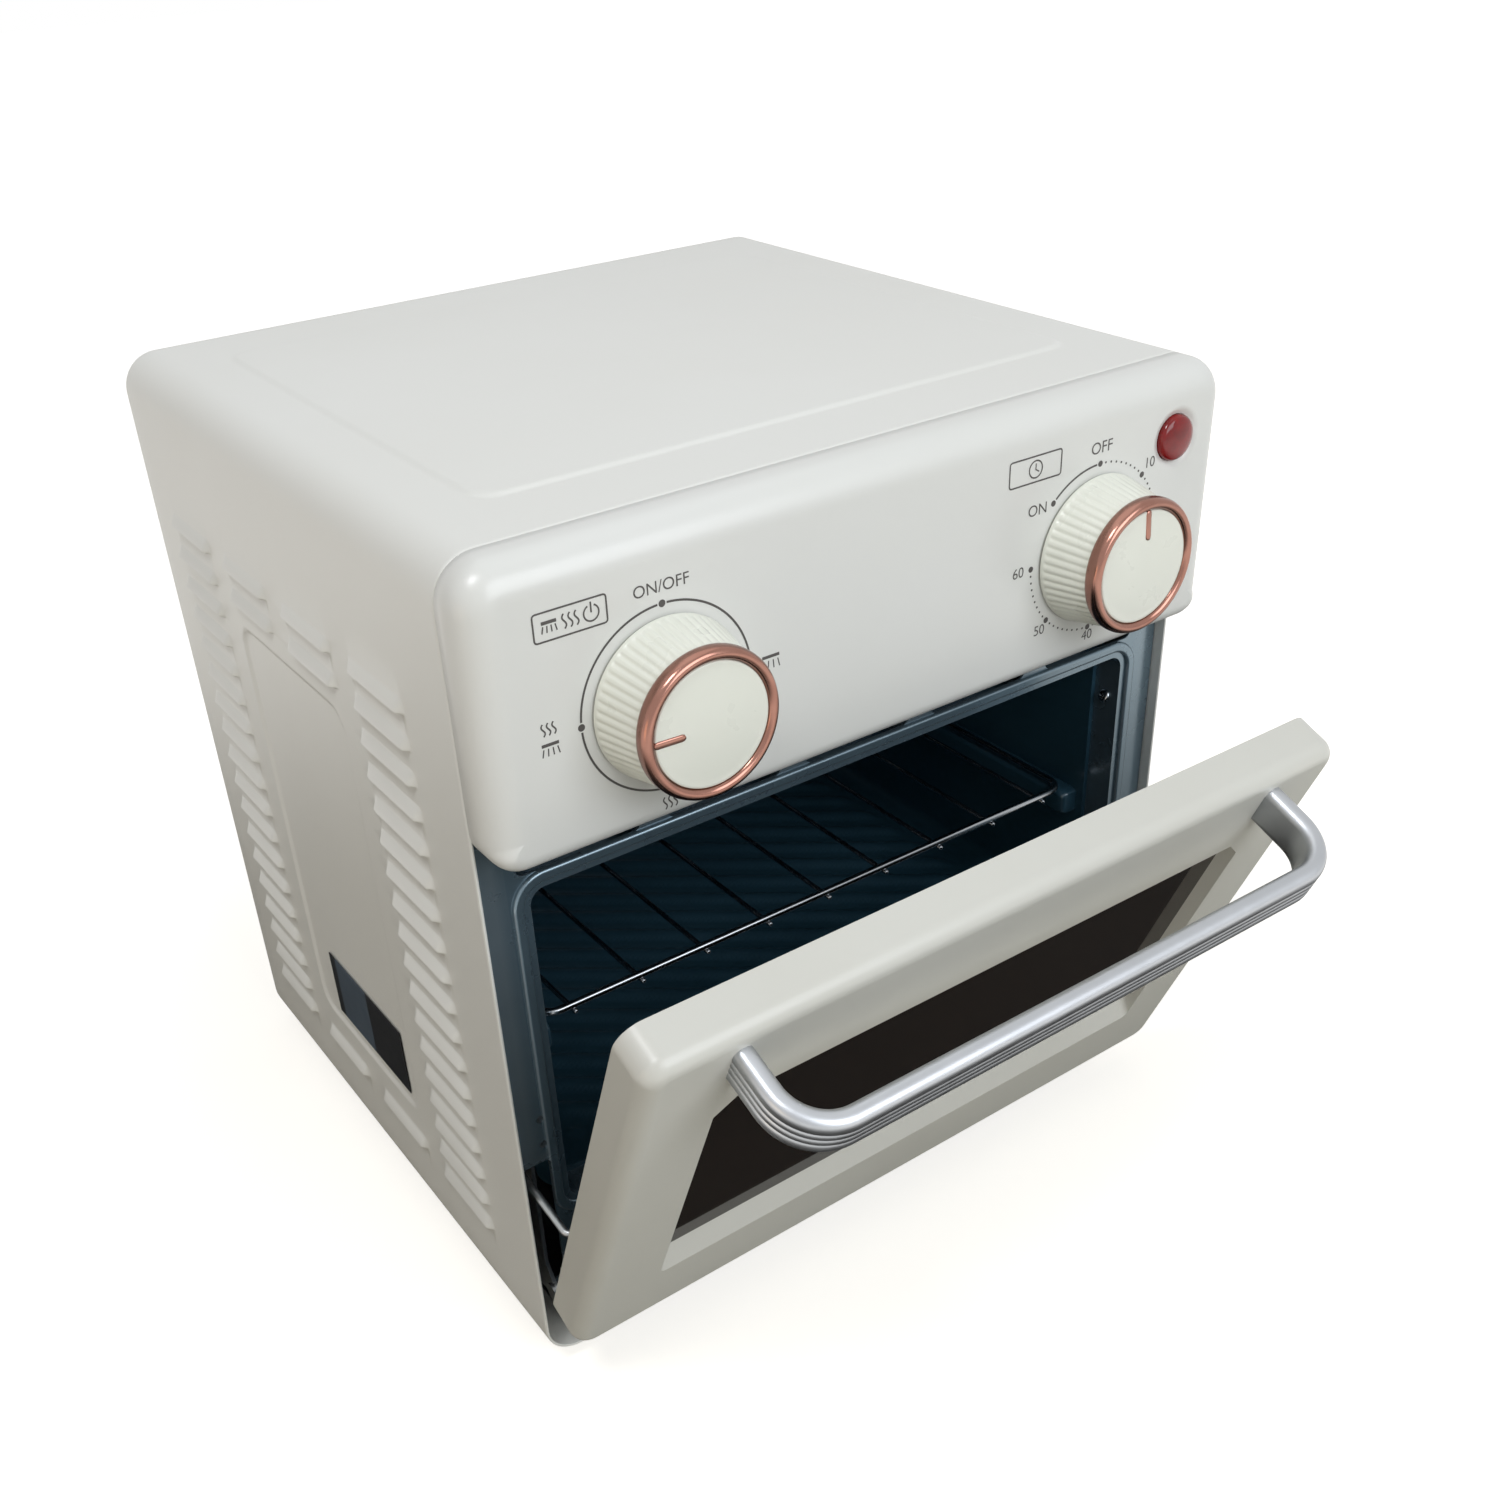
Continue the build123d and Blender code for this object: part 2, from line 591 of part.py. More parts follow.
def cavity_liner():
    """The wrap of the cavity behind the frame, with its front flange and tabs."""
    box = slab(cavity_outline(LINER_T), RETURN_END, CAVITY_BACK + LINER_T)
    box += slab(cavity_outline(LINER_T + LINER_FLANGE), RETURN_END, RETURN_END + LINER_T)
    box -= slab(cavity_outline(0), RETURN_END - 1, CAVITY_BACK + LINER_T + 1)
    for side, z in liner_screw_places():
        box += liner_tab(side, z)
    for side, z in liner_screw_places():
        box -= along_x(SCREW_R, side * (OPEN_W / 2), side * (OPEN_W / 2 + 4), LINER_SCREW_Y, z)
    for x in UV_HOLES:
        box -= along_z(2.2, x, UV_Y, CAVITY_TOP - 1, CAVITY_TOP + 2)
    return box


def cavity_back():
    """The back wall of the cavity, welded inside the wrap, with the fan's holes."""
    wall = slab(cavity_outline(0), CAVITY_BACK, CAVITY_BACK + LINER_T)
    holes = []
    for ring, count in ((0, 1), (9, 6), (18, 12), (27, 18), (36, 24)):
        for step in range(count):
            turn = 2 * math.pi * step / count
            x = ring * math.cos(turn)
            z = FAN_Z + ring * math.sin(turn)
            holes.append(along_y(2.2, x, CAVITY_BACK - 1, CAVITY_BACK + 2, z))
    return wall - holes


def rack_rail(side):
    """An angle that carries one side of the rack, with a rounded front end."""
    wall = side * CAVITY_W / 2
    inner = wall - side * RAIL_W
    top = RACK_Z - RACK_WIRE_R - FIT
    shelf = block(wall, inner, RAIL_FRONT, RAIL_BACK, top - SHEET, top)
    for edge in (inner, wall - side * SHEET):
        shelf += block(edge, edge + side * SHEET, RAIL_FRONT, RAIL_BACK, top - RAIL_H, top)
    corner = front_edges(shelf, RAIL_FRONT).filter_by(Axis.X).group_by(Axis.Z)[-1]
    return fillet(corner, SHEET * 0.9)


def wire_rack():
    """The rack: one rounded loop, and bars welded under it from front to back."""
    half_d = (RACK_BACK - RACK_FRONT) / 2
    middle = (RACK_BACK + RACK_FRONT) / 2
    outline = RectangleRounded(RACK_W, 2 * half_d, RACK_R).wire()
    path = Pos(0, FRONT + middle, BASE + RACK_Z) * outline
    start = path @ 0
    loop = sweep(Plane(origin=start, z_dir=path % 0) * Circle(RACK_WIRE_R), path=path)
    drop = RACK_WIRE_R + BAR_WIRE_R - 0.2
    rack = loop
    for number in range(BAR_N):
        x = (number - (BAR_N - 1) / 2) * BAR_PITCH
        y0 = RACK_FRONT - BAR_PROUD
        y1 = RACK_BACK + BAR_PROUD
        shrink = max(0.0, abs(x) - (RACK_W / 2 - RACK_R))
        back_off = RACK_R - math.sqrt(max(RACK_R ** 2 - shrink ** 2, 0.0))
        rack += along_y(BAR_WIRE_R, x, y0 + back_off, y1 - back_off, RACK_Z - drop)
    return rack


# ---- control panel --------------------------------------------------------
def panel_outline(inset):
    """The panel seen from the front, drawn in by inset."""
    z0, z1 = PANEL_BOTTOM + inset, SHELL_H - inset
    half = SIDE - inset
    top_r = max(SHELL_R - inset, 1.0)
    low_r = max(PANEL_LOWER_R - inset, 1.0)
    face = Pos(0, BASE + (z0 + z1) / 2) * Rectangle(2 * half, z1 - z0)
    corners = face.vertices().sort_by(Axis.Y)
    face = fillet(corners[:2], low_r)
    upper = face.vertices().sort_by(Axis.Y)[-2:]
    return fillet(upper, top_r)


def front_edges(shape, y):
    """The edges of a solid that lie in the plane y."""
    return shape.edges().filter_by_position(Axis.Y, FRONT + y - 0.01, FRONT + y + 0.01)


def control_panel():
    """The pillow-edged moulding with its inner rim, bosses and holes."""
    body = slab(panel_outline(0), -PANEL_T, 0)
    body = fillet(front_edges(body, -PANEL_T), PANEL_EDGE_R)
    hollow = slab(panel_outline(PANEL_WALL), -PANEL_T + PANEL_WALL, 1)
    hollow = fillet(front_edges(hollow, -PANEL_T + PANEL_WALL), PANEL_EDGE_R - PANEL_WALL)
    body -= hollow
    inset = SHEET + FIT
    tongue = slab(panel_outline(inset) - panel_outline(inset + PANEL_TONGUE), -1.0, FRAME_Y)
    body += tongue
    for x, z in panel_screw_places():
        body += along_y(BOSS_R, x, -PANEL_T + PANEL_WALL - 0.5, FRAME_Y, z)
    for x, z in panel_screw_places():
        body -= along_y(SCREW_R, x, -6, FRAME_Y + 1, z)
    for side in (-1, 1):
        body -= along_y(BUSH_R + 0.5, side * KNOB_X, -PANEL_T - 1, 2, KNOB_Z)
    body -= along_y(LAMP_R, LAMP_X, -PANEL_T - 1, -PANEL_T + PANEL_WALL + 1, LAMP_Z)
    return body


def knob(side):
    """Skirt, ring and cap of one knob, drawn round its own axis at the panel."""
    x = side * KNOB_X

    def at_y(y):
        return Plane(origin=(x, FRONT + y, BASE + KNOB_Z), x_dir=(1, 0, 0), z_dir=(0, -1, 0))

    def fluted(radius):
        points = []
        for step in range(2 * KNOB_FLUTES):
            turn = math.pi * step / KNOB_FLUTES
            reach = radius - (FLUTE_DEPTH if step % 2 else 0)
            points.append((reach * math.cos(turn), reach * math.sin(turn)))
        return make_face(Polyline(*points, close=True))

    skirt = loft([at_y(KNOB_BACK) * fluted(KNOB_SKIRT_R), at_y(KNOB_NECK) * fluted(KNOB_NECK_R)], ruled=True)
    skirt_hollow = loft([at_y(KNOB_BACK + 0.01) * Circle(KNOB_SKIRT_R - KNOB_SHELL),
                         at_y(KNOB_NECK + KNOB_SHELL) * Circle(KNOB_NECK_R - KNOB_SHELL)])
    skirt -= skirt_hollow
    hub = along_y(BUSH_R + 2.0, x, KNOB_NECK, KNOB_BACK - 2.0, KNOB_Z)
    skirt += hub
    skirt -= along_y(BUSH_R + 0.4, x, KNOB_NECK + 10.0, KNOB_BACK + 1, KNOB_Z)
    skirt -= along_y(SHAFT_R + 0.02, x, KNOB_NECK + 1.5, KNOB_BACK + 1, KNOB_Z)
    seat_r = RING_R - RING_W
    ring = along_y(RING_R, x, RING_FRONT, KNOB_NECK, KNOB_Z)
    ring -= along_y(seat_r, x, RING_FRONT - 1, KNOB_NECK + 1, KNOB_Z)
    ring = fillet(front_edges(ring, RING_FRONT), RING_W * 0.46)
    rear_rim = front_edges(ring, KNOB_NECK).sort_by(SortBy.LENGTH)[-1]
    ring = fillet(rear_rim, RING_W * 0.3)
    cap_front = RING_FRONT + CAP_SINK
    return skirt, ring, knob_cap(x, seat_r, cap_front), cap_front


def knob_cap(x, seat_r, cap_front):
    """The domed cap inside the ring, turned from its half section."""
    reach = seat_r - CAP_FIT
    top = cap_front - CAP_DOME
    dome_r = (seat_r ** 2 + CAP_DOME ** 2) / (2 * CAP_DOME)

    def dome_y(r):
        return top + dome_r - math.sqrt(dome_r ** 2 - r ** 2)

    rim = (reach, dome_y(reach))
    outline = Polyline((0, top), (0, KNOB_NECK), (reach, KNOB_NECK), rim)
    outline += ThreePointArc(rim, (reach / 2, dome_y(reach / 2)), (0, top))
    return Pos(x, FRONT, BASE + KNOB_Z) * revolve(make_face(outline), Axis.Y)


def pointer(side, turn, cap_front):
    """The inlaid bar of a cap; turn is its angle from 12 o'clock, clockwise."""
    reach = RING_R - RING_W - 1.2
    bar = block(-POINTER_W / 2, POINTER_W / 2, 0, 0.9, 0, POINTER_L)
    local = Pos(0, -FRONT, -BASE) * bar
    low = reach - POINTER_L
    drop = CAP_DOME * (low / (RING_R - RING_W)) ** 2
    placed = Pos(0, cap_front - CAP_DOME - POINTER_PROUD + drop, low) * local
    placed = placed.rotate(Axis.Y, turn)
    return Pos(side * KNOB_X, FRONT, BASE + KNOB_Z) * placed


def knob_shaft(side):
    """The spindle from the switch into the knob."""
    return along_y(SHAFT_R, side * KNOB_X, KNOB_NECK + 1.6, FRAME_BACK + 8.0, KNOB_Z)


def control_bracket():
    """The plate behind the frame that carries switch and timer."""
    y0, y1 = FRAME_BACK, FRAME_BACK + CARRIER_T
    plate = slab(upright(BRACKET_W, KNOB_Z - BRACKET_LOW, KNOB_Z + BRACKET_LOW, 3), y0, y1)
    for side in (-1, 1):
        plate -= along_y(BUSH_R + 0.05, side * KNOB_X, y0 - 1, y1 + 1, KNOB_Z)
    for x, z in bracket_screw_places():
        plate -= along_y(SCREW_R + 0.1, x, y0 - 1, y1 + 1, z)
    return plate


def switch(side, width, length):
    """A rotary control: square body, threaded bush, bore for the spindle."""
    x = side * KNOB_X
    y0 = FRAME_BACK + CARRIER_T
    body = block(x - width / 2, x + width / 2, y0, y0 + length, KNOB_Z - width / 2, KNOB_Z + width / 2)
    body = fillet(body.edges().filter_by(Axis.Y), 3)
    body += along_y(BUSH_R, x, -PANEL_T + 1.0, y0, KNOB_Z)
    for row in (-9, 0, 9):
        body += block(x + row - 2.4, x + row + 2.4, y0 + length, y0 + length + 6, KNOB_Z - 8, KNOB_Z - 7.2)
    body -= along_y(SHAFT_R + SHAFT_FIT, x, -PANEL_T - 1, FRAME_BACK + 9.0, KNOB_Z)
    return body


def bush_nut(side):
    """The nut that clamps a control to its bracket."""
    x = side * KNOB_X
    face = Pos(x, BASE + KNOB_Z) * RegularPolygon(NUT_R, 6)
    return slab(face, FRAME_BACK - NUT_T, FRAME_BACK) - along_y(BUSH_R + 0.03, x, -9, 9, KNOB_Z)


def pilot_lens():
    """The domed red lens with its flange behind the panel wall."""
    back = -PANEL_T + PANEL_WALL
    lens = along_y(LAMP_R - 0.1, LAMP_X, -PANEL_T - 0.4, back + 1.5, LAMP_Z)
    lens += along_y(LAMP_R + 1.4, LAMP_X, back, back + 1.5, LAMP_Z)
    dome_r = ((LAMP_R - 0.1) ** 2 + LAMP_DOME ** 2) / (2 * LAMP_DOME)
    ball = Pos(LAMP_X, FRONT - PANEL_T - 0.4 - LAMP_DOME + dome_r, BASE + LAMP_Z) * Sphere(dome_r)
    cap = along_y(LAMP_R - 0.1, LAMP_X, -PANEL_T - 0.4 - LAMP_DOME, -PANEL_T - 0.4, LAMP_Z) & ball
    return lens + cap


def pilot_lamp():
    """The neon lamp body behind the lens."""
    back = -PANEL_T + PANEL_WALL + 1.5
    return along_y(LAMP_BODY_R, LAMP_X, back, back + 14.0, LAMP_Z)


# ---- door -----------------------------------------------------------------
def door_outline(inset):
    """The closed door seen from the front, drawn in by inset."""
    radius = max(DOOR_CORNER_R - inset, 1.0)
    return upright(DOOR_W - 2 * inset, DOOR_BOTTOM + inset, DOOR_TOP - inset, radius)


def window_face(grow, low_rise=0.0):
    """The window outline; its upper corners are cut off at a slant."""
    z0, z1 = WINDOW_BOTTOM - grow + low_rise, WINDOW_TOP + grow
    face = Pos(0, BASE + (z0 + z1) / 2) * Rectangle(WINDOW_W + 2 * grow, z1 - z0)
    upper = face.vertices().sort_by(Axis.Y)[-2:]
    face = chamfer(upper, WINDOW_CHAMFER)
    return fillet(face.vertices().sort_by(Axis.Y)[:2], WINDOW_R)


def door_screw_places():
    """Screws that hold the inner frame, as (x, z)."""
    x = WINDOW_W / 2 + GLASS_LAP + 2 * BOSS_R + 3.0
    middle = (WINDOW_BOTTOM + WINDOW_TOP) / 2
    rows = (DOOR_BOTTOM + 12.0, middle, DOOR_TOP - 12.0)
    return [(sx * x, z) for sx in (-1, 1) for z in rows]


def door_frame():
    """The moulded door: thick face, side walls, window with a sloped sill."""
    body = slab(door_outline(0), DOOR_FRONT, DOOR_BACK)
    body = fillet(front_edges(body, DOOR_FRONT), DOOR_EDGE_R)
    body -= slab(door_outline(DOOR_WALL), DOOR_FRONT + DOOR_FACE_T, DOOR_BACK + 1)
    front = Pos(0, FRONT + DOOR_FRONT - 0.01, 0) * (Plane.XZ * window_face(0))
    back = Pos(0, FRONT + DOOR_FRONT + DOOR_FACE_T + 0.01, 0) * (Plane.XZ * window_face(-0.8, SILL_RISE))
    body -= loft([front, back], ruled=True)
    face_back = DOOR_FRONT + DOOR_FACE_T
    for x, z in door_screw_places():
        body += along_y(BOSS_R, x, face_back - 0.5, DOOR_BACK - INNER_T, z)
    for x, z in door_screw_places():
        body -= along_y(SCREW_R, x, face_back + 2, DOOR_BACK, z)
    for side in (-1, 1):
        body -= along_y(SCREW_R + 0.3, side * HANDLE_X, DOOR_FRONT - 1, DOOR_BACK, HANDLE_Z)
    return body


def glass_face(grow):
    """The outline of the glass, with room grown round it."""
    half = WINDOW_W / 2 + GLASS_LAP + grow
    z0 = WINDOW_BOTTOM - GLASS_LAP - grow
    z1 = WINDOW_TOP + GLASS_LAP + grow
    return Pos(0, BASE + (z0 + z1) / 2) * RectangleRounded(2 * half, z1 - z0, 3 + max(grow, 0))


def door_glass():
    """The dark tempered pane in its rebate."""
    y0 = DOOR_FRONT + DOOR_FACE_T
    pane = slab(glass_face(0), y0, y0 + GLASS_T)
    return pane


def stay_pivot():
    """Where the stay rod is hooked on the closed door, as (y, z)."""
    return STAY_Y, HINGE_Z + STAY_UP


def door_lug(side):
    """The ear with the pin's hole, and the strip up to the stay's hole."""
    x0, x1 = side * LUG_X, side * (LUG_X + LUG_T)
    pivot_y, pivot_z = stay_pivot()
    back = DOOR_BACK - INNER_T
    foot_z = DOOR_BOTTOM + DOOR_CORNER_R
    strip = sideways([(back, foot_z), (DOOR_BACK + FIT, foot_z), (HINGE_Y, HINGE_Z - LUG_R + 1),
                      (HINGE_Y, HINGE_Z + LUG_R - 1),
                      (back + LUG_STRIP, HINGE_Z + 18), (back + LUG_STRIP, pivot_z - 8),
                      (pivot_y, pivot_z - STAY_EYE_R), (pivot_y, pivot_z + STAY_EYE_R),
                      (back, pivot_z + 6)], x0, x1)
    strip += along_x(LUG_R, x0, x1, HINGE_Y, HINGE_Z)
    strip += along_x(STAY_EYE_R, x0, x1, pivot_y, pivot_z)
    strip -= along_x(PIN_R + PIN_FIT, x0, x1, HINGE_Y, HINGE_Z)
    strip -= along_x(STAY_R + PIN_FIT, x0, x1, pivot_y, pivot_z)
    return strip


def door_inner_frame():
    """The inner frame: holds the glass by its seal, and carries the hinge lugs."""
    back = DOOR_BACK
    plate = slab(door_outline(DOOR_WALL + FIT), back - INNER_T, back)
    plate -= slab(window_face(0), back - INNER_T - 1, back + 1)
    for side in (-1, 1):
        plate += door_lug(side)
    for side in (-1, 1):
        plate -= along_y(SCREW_HEAD_R + 1.5, side * HANDLE_X, back - INNER_T - 1, back + 1, HANDLE_Z)
    for x, z in door_screw_places():
        plate -= along_y(SCREW_R + 0.1, x, back - INNER_T - 1, back + 1, z)
    return plate


def glass_gasket():
    """The seal ring between the glass and the inner frame."""
    ring = glass_face(-1.0) - glass_face(-1.0 - GASKET_W)
    return slab(ring, DOOR_FRONT + DOOR_FACE_T + GLASS_T, DOOR_BACK - INNER_T)


def magnet():
    """The door magnet that works the reed switch, on the inner frame's front."""
    seat = DOOR_BACK - INNER_T
    half = MAGNET_SIDE / 2
    return block(MAGNET_X - half, MAGNET_X + half, seat - MAGNET_T, seat, MAGNET_Z - half, MAGNET_Z + half)


def reed_switch():
    """The reed switch behind the frame, opposite the magnet."""
    low = OPEN_TOP + SHEET + 1.5
    body = block(MAGNET_X - 4.5, MAGNET_X + 4.5, FRAME_BACK, FRAME_BACK + 7, low, low + 16)
    return fillet(body.edges().filter_by(Axis.Y), 1.5)


def handle():
    """The bent bar with grooves along its lower face."""
    root = DOOR_FRONT
    out = root - HANDLE_OUT
    left = [(-HANDLE_X, FRONT + root), (-HANDLE_X, FRONT + out)]
    corners = left + [(-x, y) for x, y in reversed(left)]
    path = Pos(0, 0, BASE + HANDLE_Z) * FilletPolyline(*corners, radius=HANDLE_R)
    section = RectangleRounded(HANDLE_T, HANDLE_W, HANDLE_EDGE_R)
    for number in range(GROOVE_N):
        shift = (number - (GROOVE_N - 1) / 2) * GROOVE_PITCH
        section -= Pos(-HANDLE_T / 2, shift) * Circle(GROOVE_R)
    start = Plane(origin=path @ 0, x_dir=(1, 0, 0), z_dir=(0, -1, 0))
    bar = sweep(start * section, path=path)
    for side in (-1, 1):
        bar -= along_y(SCREW_R, side * HANDLE_X, root - 14, root + 1, HANDLE_Z)
    return bar


def handle_screw(side):
    """A screw from inside the door into a leg of the handle."""
    return screw(side * HANDLE_X, DOOR_FRONT + DOOR_FACE_T, HANDLE_Z, DOOR_FACE_T + PANEL_SCREW_L)


# ---- hinges and stays -----------------------------------------------------
def turned(y, z, degrees):
    """A point turned about the hinge pin."""
    angle = math.radians(degrees)
    dy, dz = y - HINGE_Y, z - HINGE_Z
    return (HINGE_Y + dy * math.cos(angle) - dz * math.sin(angle),
            HINGE_Z + dy * math.sin(angle) + dz * math.cos(angle))


def guide_point():
    """The point between the guide rollers that the stay runs through."""
    return GUIDE_Y, HINGE_Z + STAY_UP


def stay_angle():
    """The stay's slope in the drawn position, in degrees."""
    y0, z0 = turned(*stay_pivot(), DOOR_REST)
    y1, z1 = guide_point()
    return math.degrees(math.atan2(z1 - z0, y1 - y0))


def stay_rod(side):
    """The rod from the door, through the rollers, with its hooked front end."""
    y0, z0 = turned(*stay_pivot(), DOOR_REST)
    start = Vector(side * STAY_X, FRONT + y0, BASE + z0)
    along = Vector(0, math.cos(math.radians(stay_angle())), math.sin(math.radians(stay_angle())))
    hook_end = Vector(side * (LUG_X - 2.0), start.Y, start.Z)
    path = FilletPolyline(hook_end, start, start + along * STAY_L, radius=2.2)
    rod = sweep(Plane(origin=hook_end, z_dir=(side, 0, 0)) * Circle(STAY_R), path=path)
    tip = Plane(origin=start + along * (STAY_L - 3), z_dir=along)
    return rod + extrude(tip * Circle(STAY_R + 0.9), amount=3)


def hinge_bracket(side):
    """The side plate with the pin's nose, screwed behind the front frame."""
    x0, x1 = side * BRACKET_X, side * (BRACKET_X + BRACKET_T)
    nose_r = LUG_R - 0.5
    low, high = HINGE_Z - nose_r, NOTCH_TOP + 26
    outline = [(HINGE_Y, low), (BRACKET_BACK, low), (BRACKET_BACK, NOTCH_TOP + 4), (BRACKET_BACK - 20, high),
               (FRAME_BACK, high), (FRAME_BACK, NOTCH_TOP + 1), (FRAME_BACK + 3, NOTCH_TOP - 2),
               (FRAME_BACK + 3, HINGE_Z + 12), (HINGE_Y, HINGE_Z + nose_r)]
    plate = sideways(outline, x0, x1)
    plate += along_x(nose_r, x0, x1, HINGE_Y, HINGE_Z)
    plate += block(side * (NOTCH_IN - 3.5), x1, FRAME_BACK, FRAME_BACK + BRACKET_T, NOTCH_TOP + 2, high)
    plate -= along_x(PIN_R, x0, x1, HINGE_Y, HINGE_Z)
    for x, z in hinge_screw_places():
        plate -= along_y(SCREW_R + 0.1, x, FRAME_BACK - 1, FRAME_BACK + BRACKET_T + 1, z)
    guide_y, guide_z = guide_point()
    for way in (-1, 1):
        plate -= along_x(RIVET_R, x0, x1, guide_y, guide_z + way * roller_offset())
    return plate


def roller_offset():
    """Centre of a guide roller above or below the stay's line."""
    return STAY_R + ROLLER_GAP + ROLLER_R


def guide_roller(side, way):
    """A roller with its rivet, on the outer face of the hinge bracket."""
    guide_y, guide_z = guide_point()
    z = guide_z + way * roller_offset()
    face = BRACKET_X + BRACKET_T
    wheel = along_x(ROLLER_R, side * face, side * (face + 4.4), guide_y, z)
    rivet = along_x(RIVET_R, side * (BRACKET_X - 0.8), side * face, guide_y, z)
    return wheel + rivet


def hinge_pin(side):
    """The pin, fixed in the bracket, that the door's lug turns on."""
    inner = LUG_X - 1.0
    outer = BRACKET_X + BRACKET_T
    pin = along_x(PIN_R, side * inner, side * outer, HINGE_Y, HINGE_Z)
    head = along_x(PIN_R + 1.2, side * outer, side * (outer + 1.2), HINGE_Y, HINGE_Z)
    return pin + head


# ---- inside ---------------------------------------------------------------
def uv_lamp():
    """The ultraviolet tube with its end caps."""
    tube = along_x(UV_R - 1, -UV_L / 2, UV_L / 2, UV_Y, UV_Z)
    for side in (-1, 1):
        tube += along_x(UV_R, side * (UV_L / 2 - 12), side * UV_L / 2, UV_Y, UV_Z)
    return tube


def uv_holder(side):
    """A lamp socket under the cavity's ceiling."""
    half = UV_HOLDER / 2
    body = block(side * UV_L / 2, side * (UV_L / 2 + 8), UV_Y - half, UV_Y + half, UV_Z - UV_R, CAVITY_TOP)
    return body + along_z(2.1, side * (UV_L / 2 + 4), UV_Y, CAVITY_TOP - 1, CAVITY_TOP + LINER_T + 2)


def uv_reflector():
    """The bent reflector between lamp and ceiling."""
    half = REFLECTOR_W / 2
    face = [(UV_Y - half, UV_Z + 3), (UV_Y - half + 14, CAVITY_TOP), (UV_Y + half - 14, CAVITY_TOP),
            (UV_Y + half, UV_Z + 3), (UV_Y + half - 1, UV_Z + 2.2), (UV_Y + half - 14.6, CAVITY_TOP - 0.8),
            (UV_Y - half + 14.6, CAVITY_TOP - 0.8), (UV_Y - half + 1, UV_Z + 2.2)]
    return sideways(face, -UV_L / 2 + 2, UV_L / 2 - 2)


def fan_housing():
    """The duct on the cavity's back wall, with the motor plate behind."""
    y0 = CAVITY_BACK + LINER_T
    y1 = y0 + DUCT_L
    duct = along_y(DUCT_R + DUCT_T, 0, y0, y1, FAN_Z) - along_y(DUCT_R, 0, y0 - 1, y1 - DUCT_T, FAN_Z)
    duct += along_y(DUCT_R + 8, 0, y0, y0 + DUCT_T, FAN_Z) - along_y(DUCT_R, 0, y0 - 1, y0 + 5, FAN_Z)
    for step in range(8):
        turn = math.radians(22.5 + 45 * step)
        x, z = 36 * math.cos(turn), FAN_Z + 36 * math.sin(turn)
        duct -= along_y(8, x, y1 - 3, y1 + 1, z)
    duct -= along_y(MOTOR_SHAFT_R + 2.5, 0, y1 - 3, y1 + 1, FAN_Z)
    return duct


def fan_motor():
    """The shaded-pole motor, drawn as a can with its bearing boss."""
    y0 = CAVITY_BACK + LINER_T + DUCT_L
    can = along_y(MOTOR_R, 0, y0, y0 + MOTOR_L, FAN_Z)
    can = fillet(can.edges().sort_by(Axis.Y)[-1], 2.5)
    can += along_y(MOTOR_SHAFT_R + 2.3, 0, y0 - 3, y0, FAN_Z)
    return can - along_y(MOTOR_SHAFT_R + SHAFT_FIT, 0, y0 - 4, y0 + 12, FAN_Z)


def fan_rotor():
    """Six blades on a hub, with the motor's shaft."""
    y_hub = CAVITY_BACK + LINER_T + DUCT_L - 13.0
    rotor = along_y(FAN_HUB_R, 0, y_hub, y_hub + 7, FAN_Z)
    blade = Pos(0, FRONT + y_hub + 3.5, BASE + FAN_Z) * blade_shape()
    for step in range(FAN_BLADES):
        axis = Axis((0, 0, BASE + FAN_Z), (0, 1, 0))
        rotor += blade.rotate(axis, 360 / FAN_BLADES * step)
    rotor += along_y(MOTOR_SHAFT_R, 0, y_hub + 6, CAVITY_BACK + LINER_T + DUCT_L + 10, FAN_Z)
    return rotor


def blade_shape():
    """One pitched blade that points up from the hub."""
    reach = FAN_R - FAN_HUB_R + 2
    plate = Box(20, 1.2, reach)
    return Pos(0, 0, FAN_HUB_R - 2 + reach / 2) * Rot(0, 0, 24) * plate


def heater():
    """The ceramic heater block with its air slots, on two tabs."""
    y0 = CAVITY_BACK + LINER_T + 1.5
    x0, x1 = -HEATER_W / 2, HEATER_W / 2
    body = block(x0, x1, y0, y0 + HEATER_T, FAN_Z - HEATER_H / 2, FAN_Z + HEATER_H / 2)
    step = HEATER_W / (HEATER_SLOTS + 1)
    low, high = FAN_Z - HEATER_H / 2 + 4, FAN_Z + HEATER_H / 2 - 4
    for number in range(HEATER_SLOTS):
        x = x0 + (number + 1) * step
        body -= block(x - 2, x + 2, y0 - 1, y0 + HEATER_T + 1, low, high)
    for side in (-1, 1):
        edge = HEATER_W / 2
        body += block(side * (edge - 1), side * (DUCT_R - 6), y0 - 1.5, y0, FAN_Z - 5, FAN_Z + 5)
        body += block(side * (edge - 1), side * (edge + 1), y0 - 1.5, y0 + 2, FAN_Z - 5, FAN_Z + 5)
    return body


def ballast():
    """The lamp's ballast on top of the liner."""
    z0 = CAVITY_TOP + LINER_T
    x0 = ABOVE_BACK - CAVITY_W / 2
    y0 = UV_Y + ABOVE_BACK
    body = block(x0, x0 + BALLAST_L, y0, y0 + BALLAST_D, z0, z0 + BALLAST_H)
    return fillet(body.edges().filter_by(Axis.Z), 2.5)


def thermal_cutout():
    """The button thermostat on top of the liner."""
    z0 = CAVITY_TOP + LINER_T
    y = UV_Y + 2 * ABOVE_BACK
    top = z0 + CUTOUT_H
    body = along_z(CUTOUT_R, CUTOUT_X, y, z0, top) + along_z(CUTOUT_R + 3, CUTOUT_X, y, z0, z0 + 1.2)
    for way in (-1, 1):
        x = CUTOUT_X + way * CUTOUT_R / 2
        body += block(x - 3, x + 3, y - 0.4, y + 0.4, top - 0.1, top + 8)
    return body


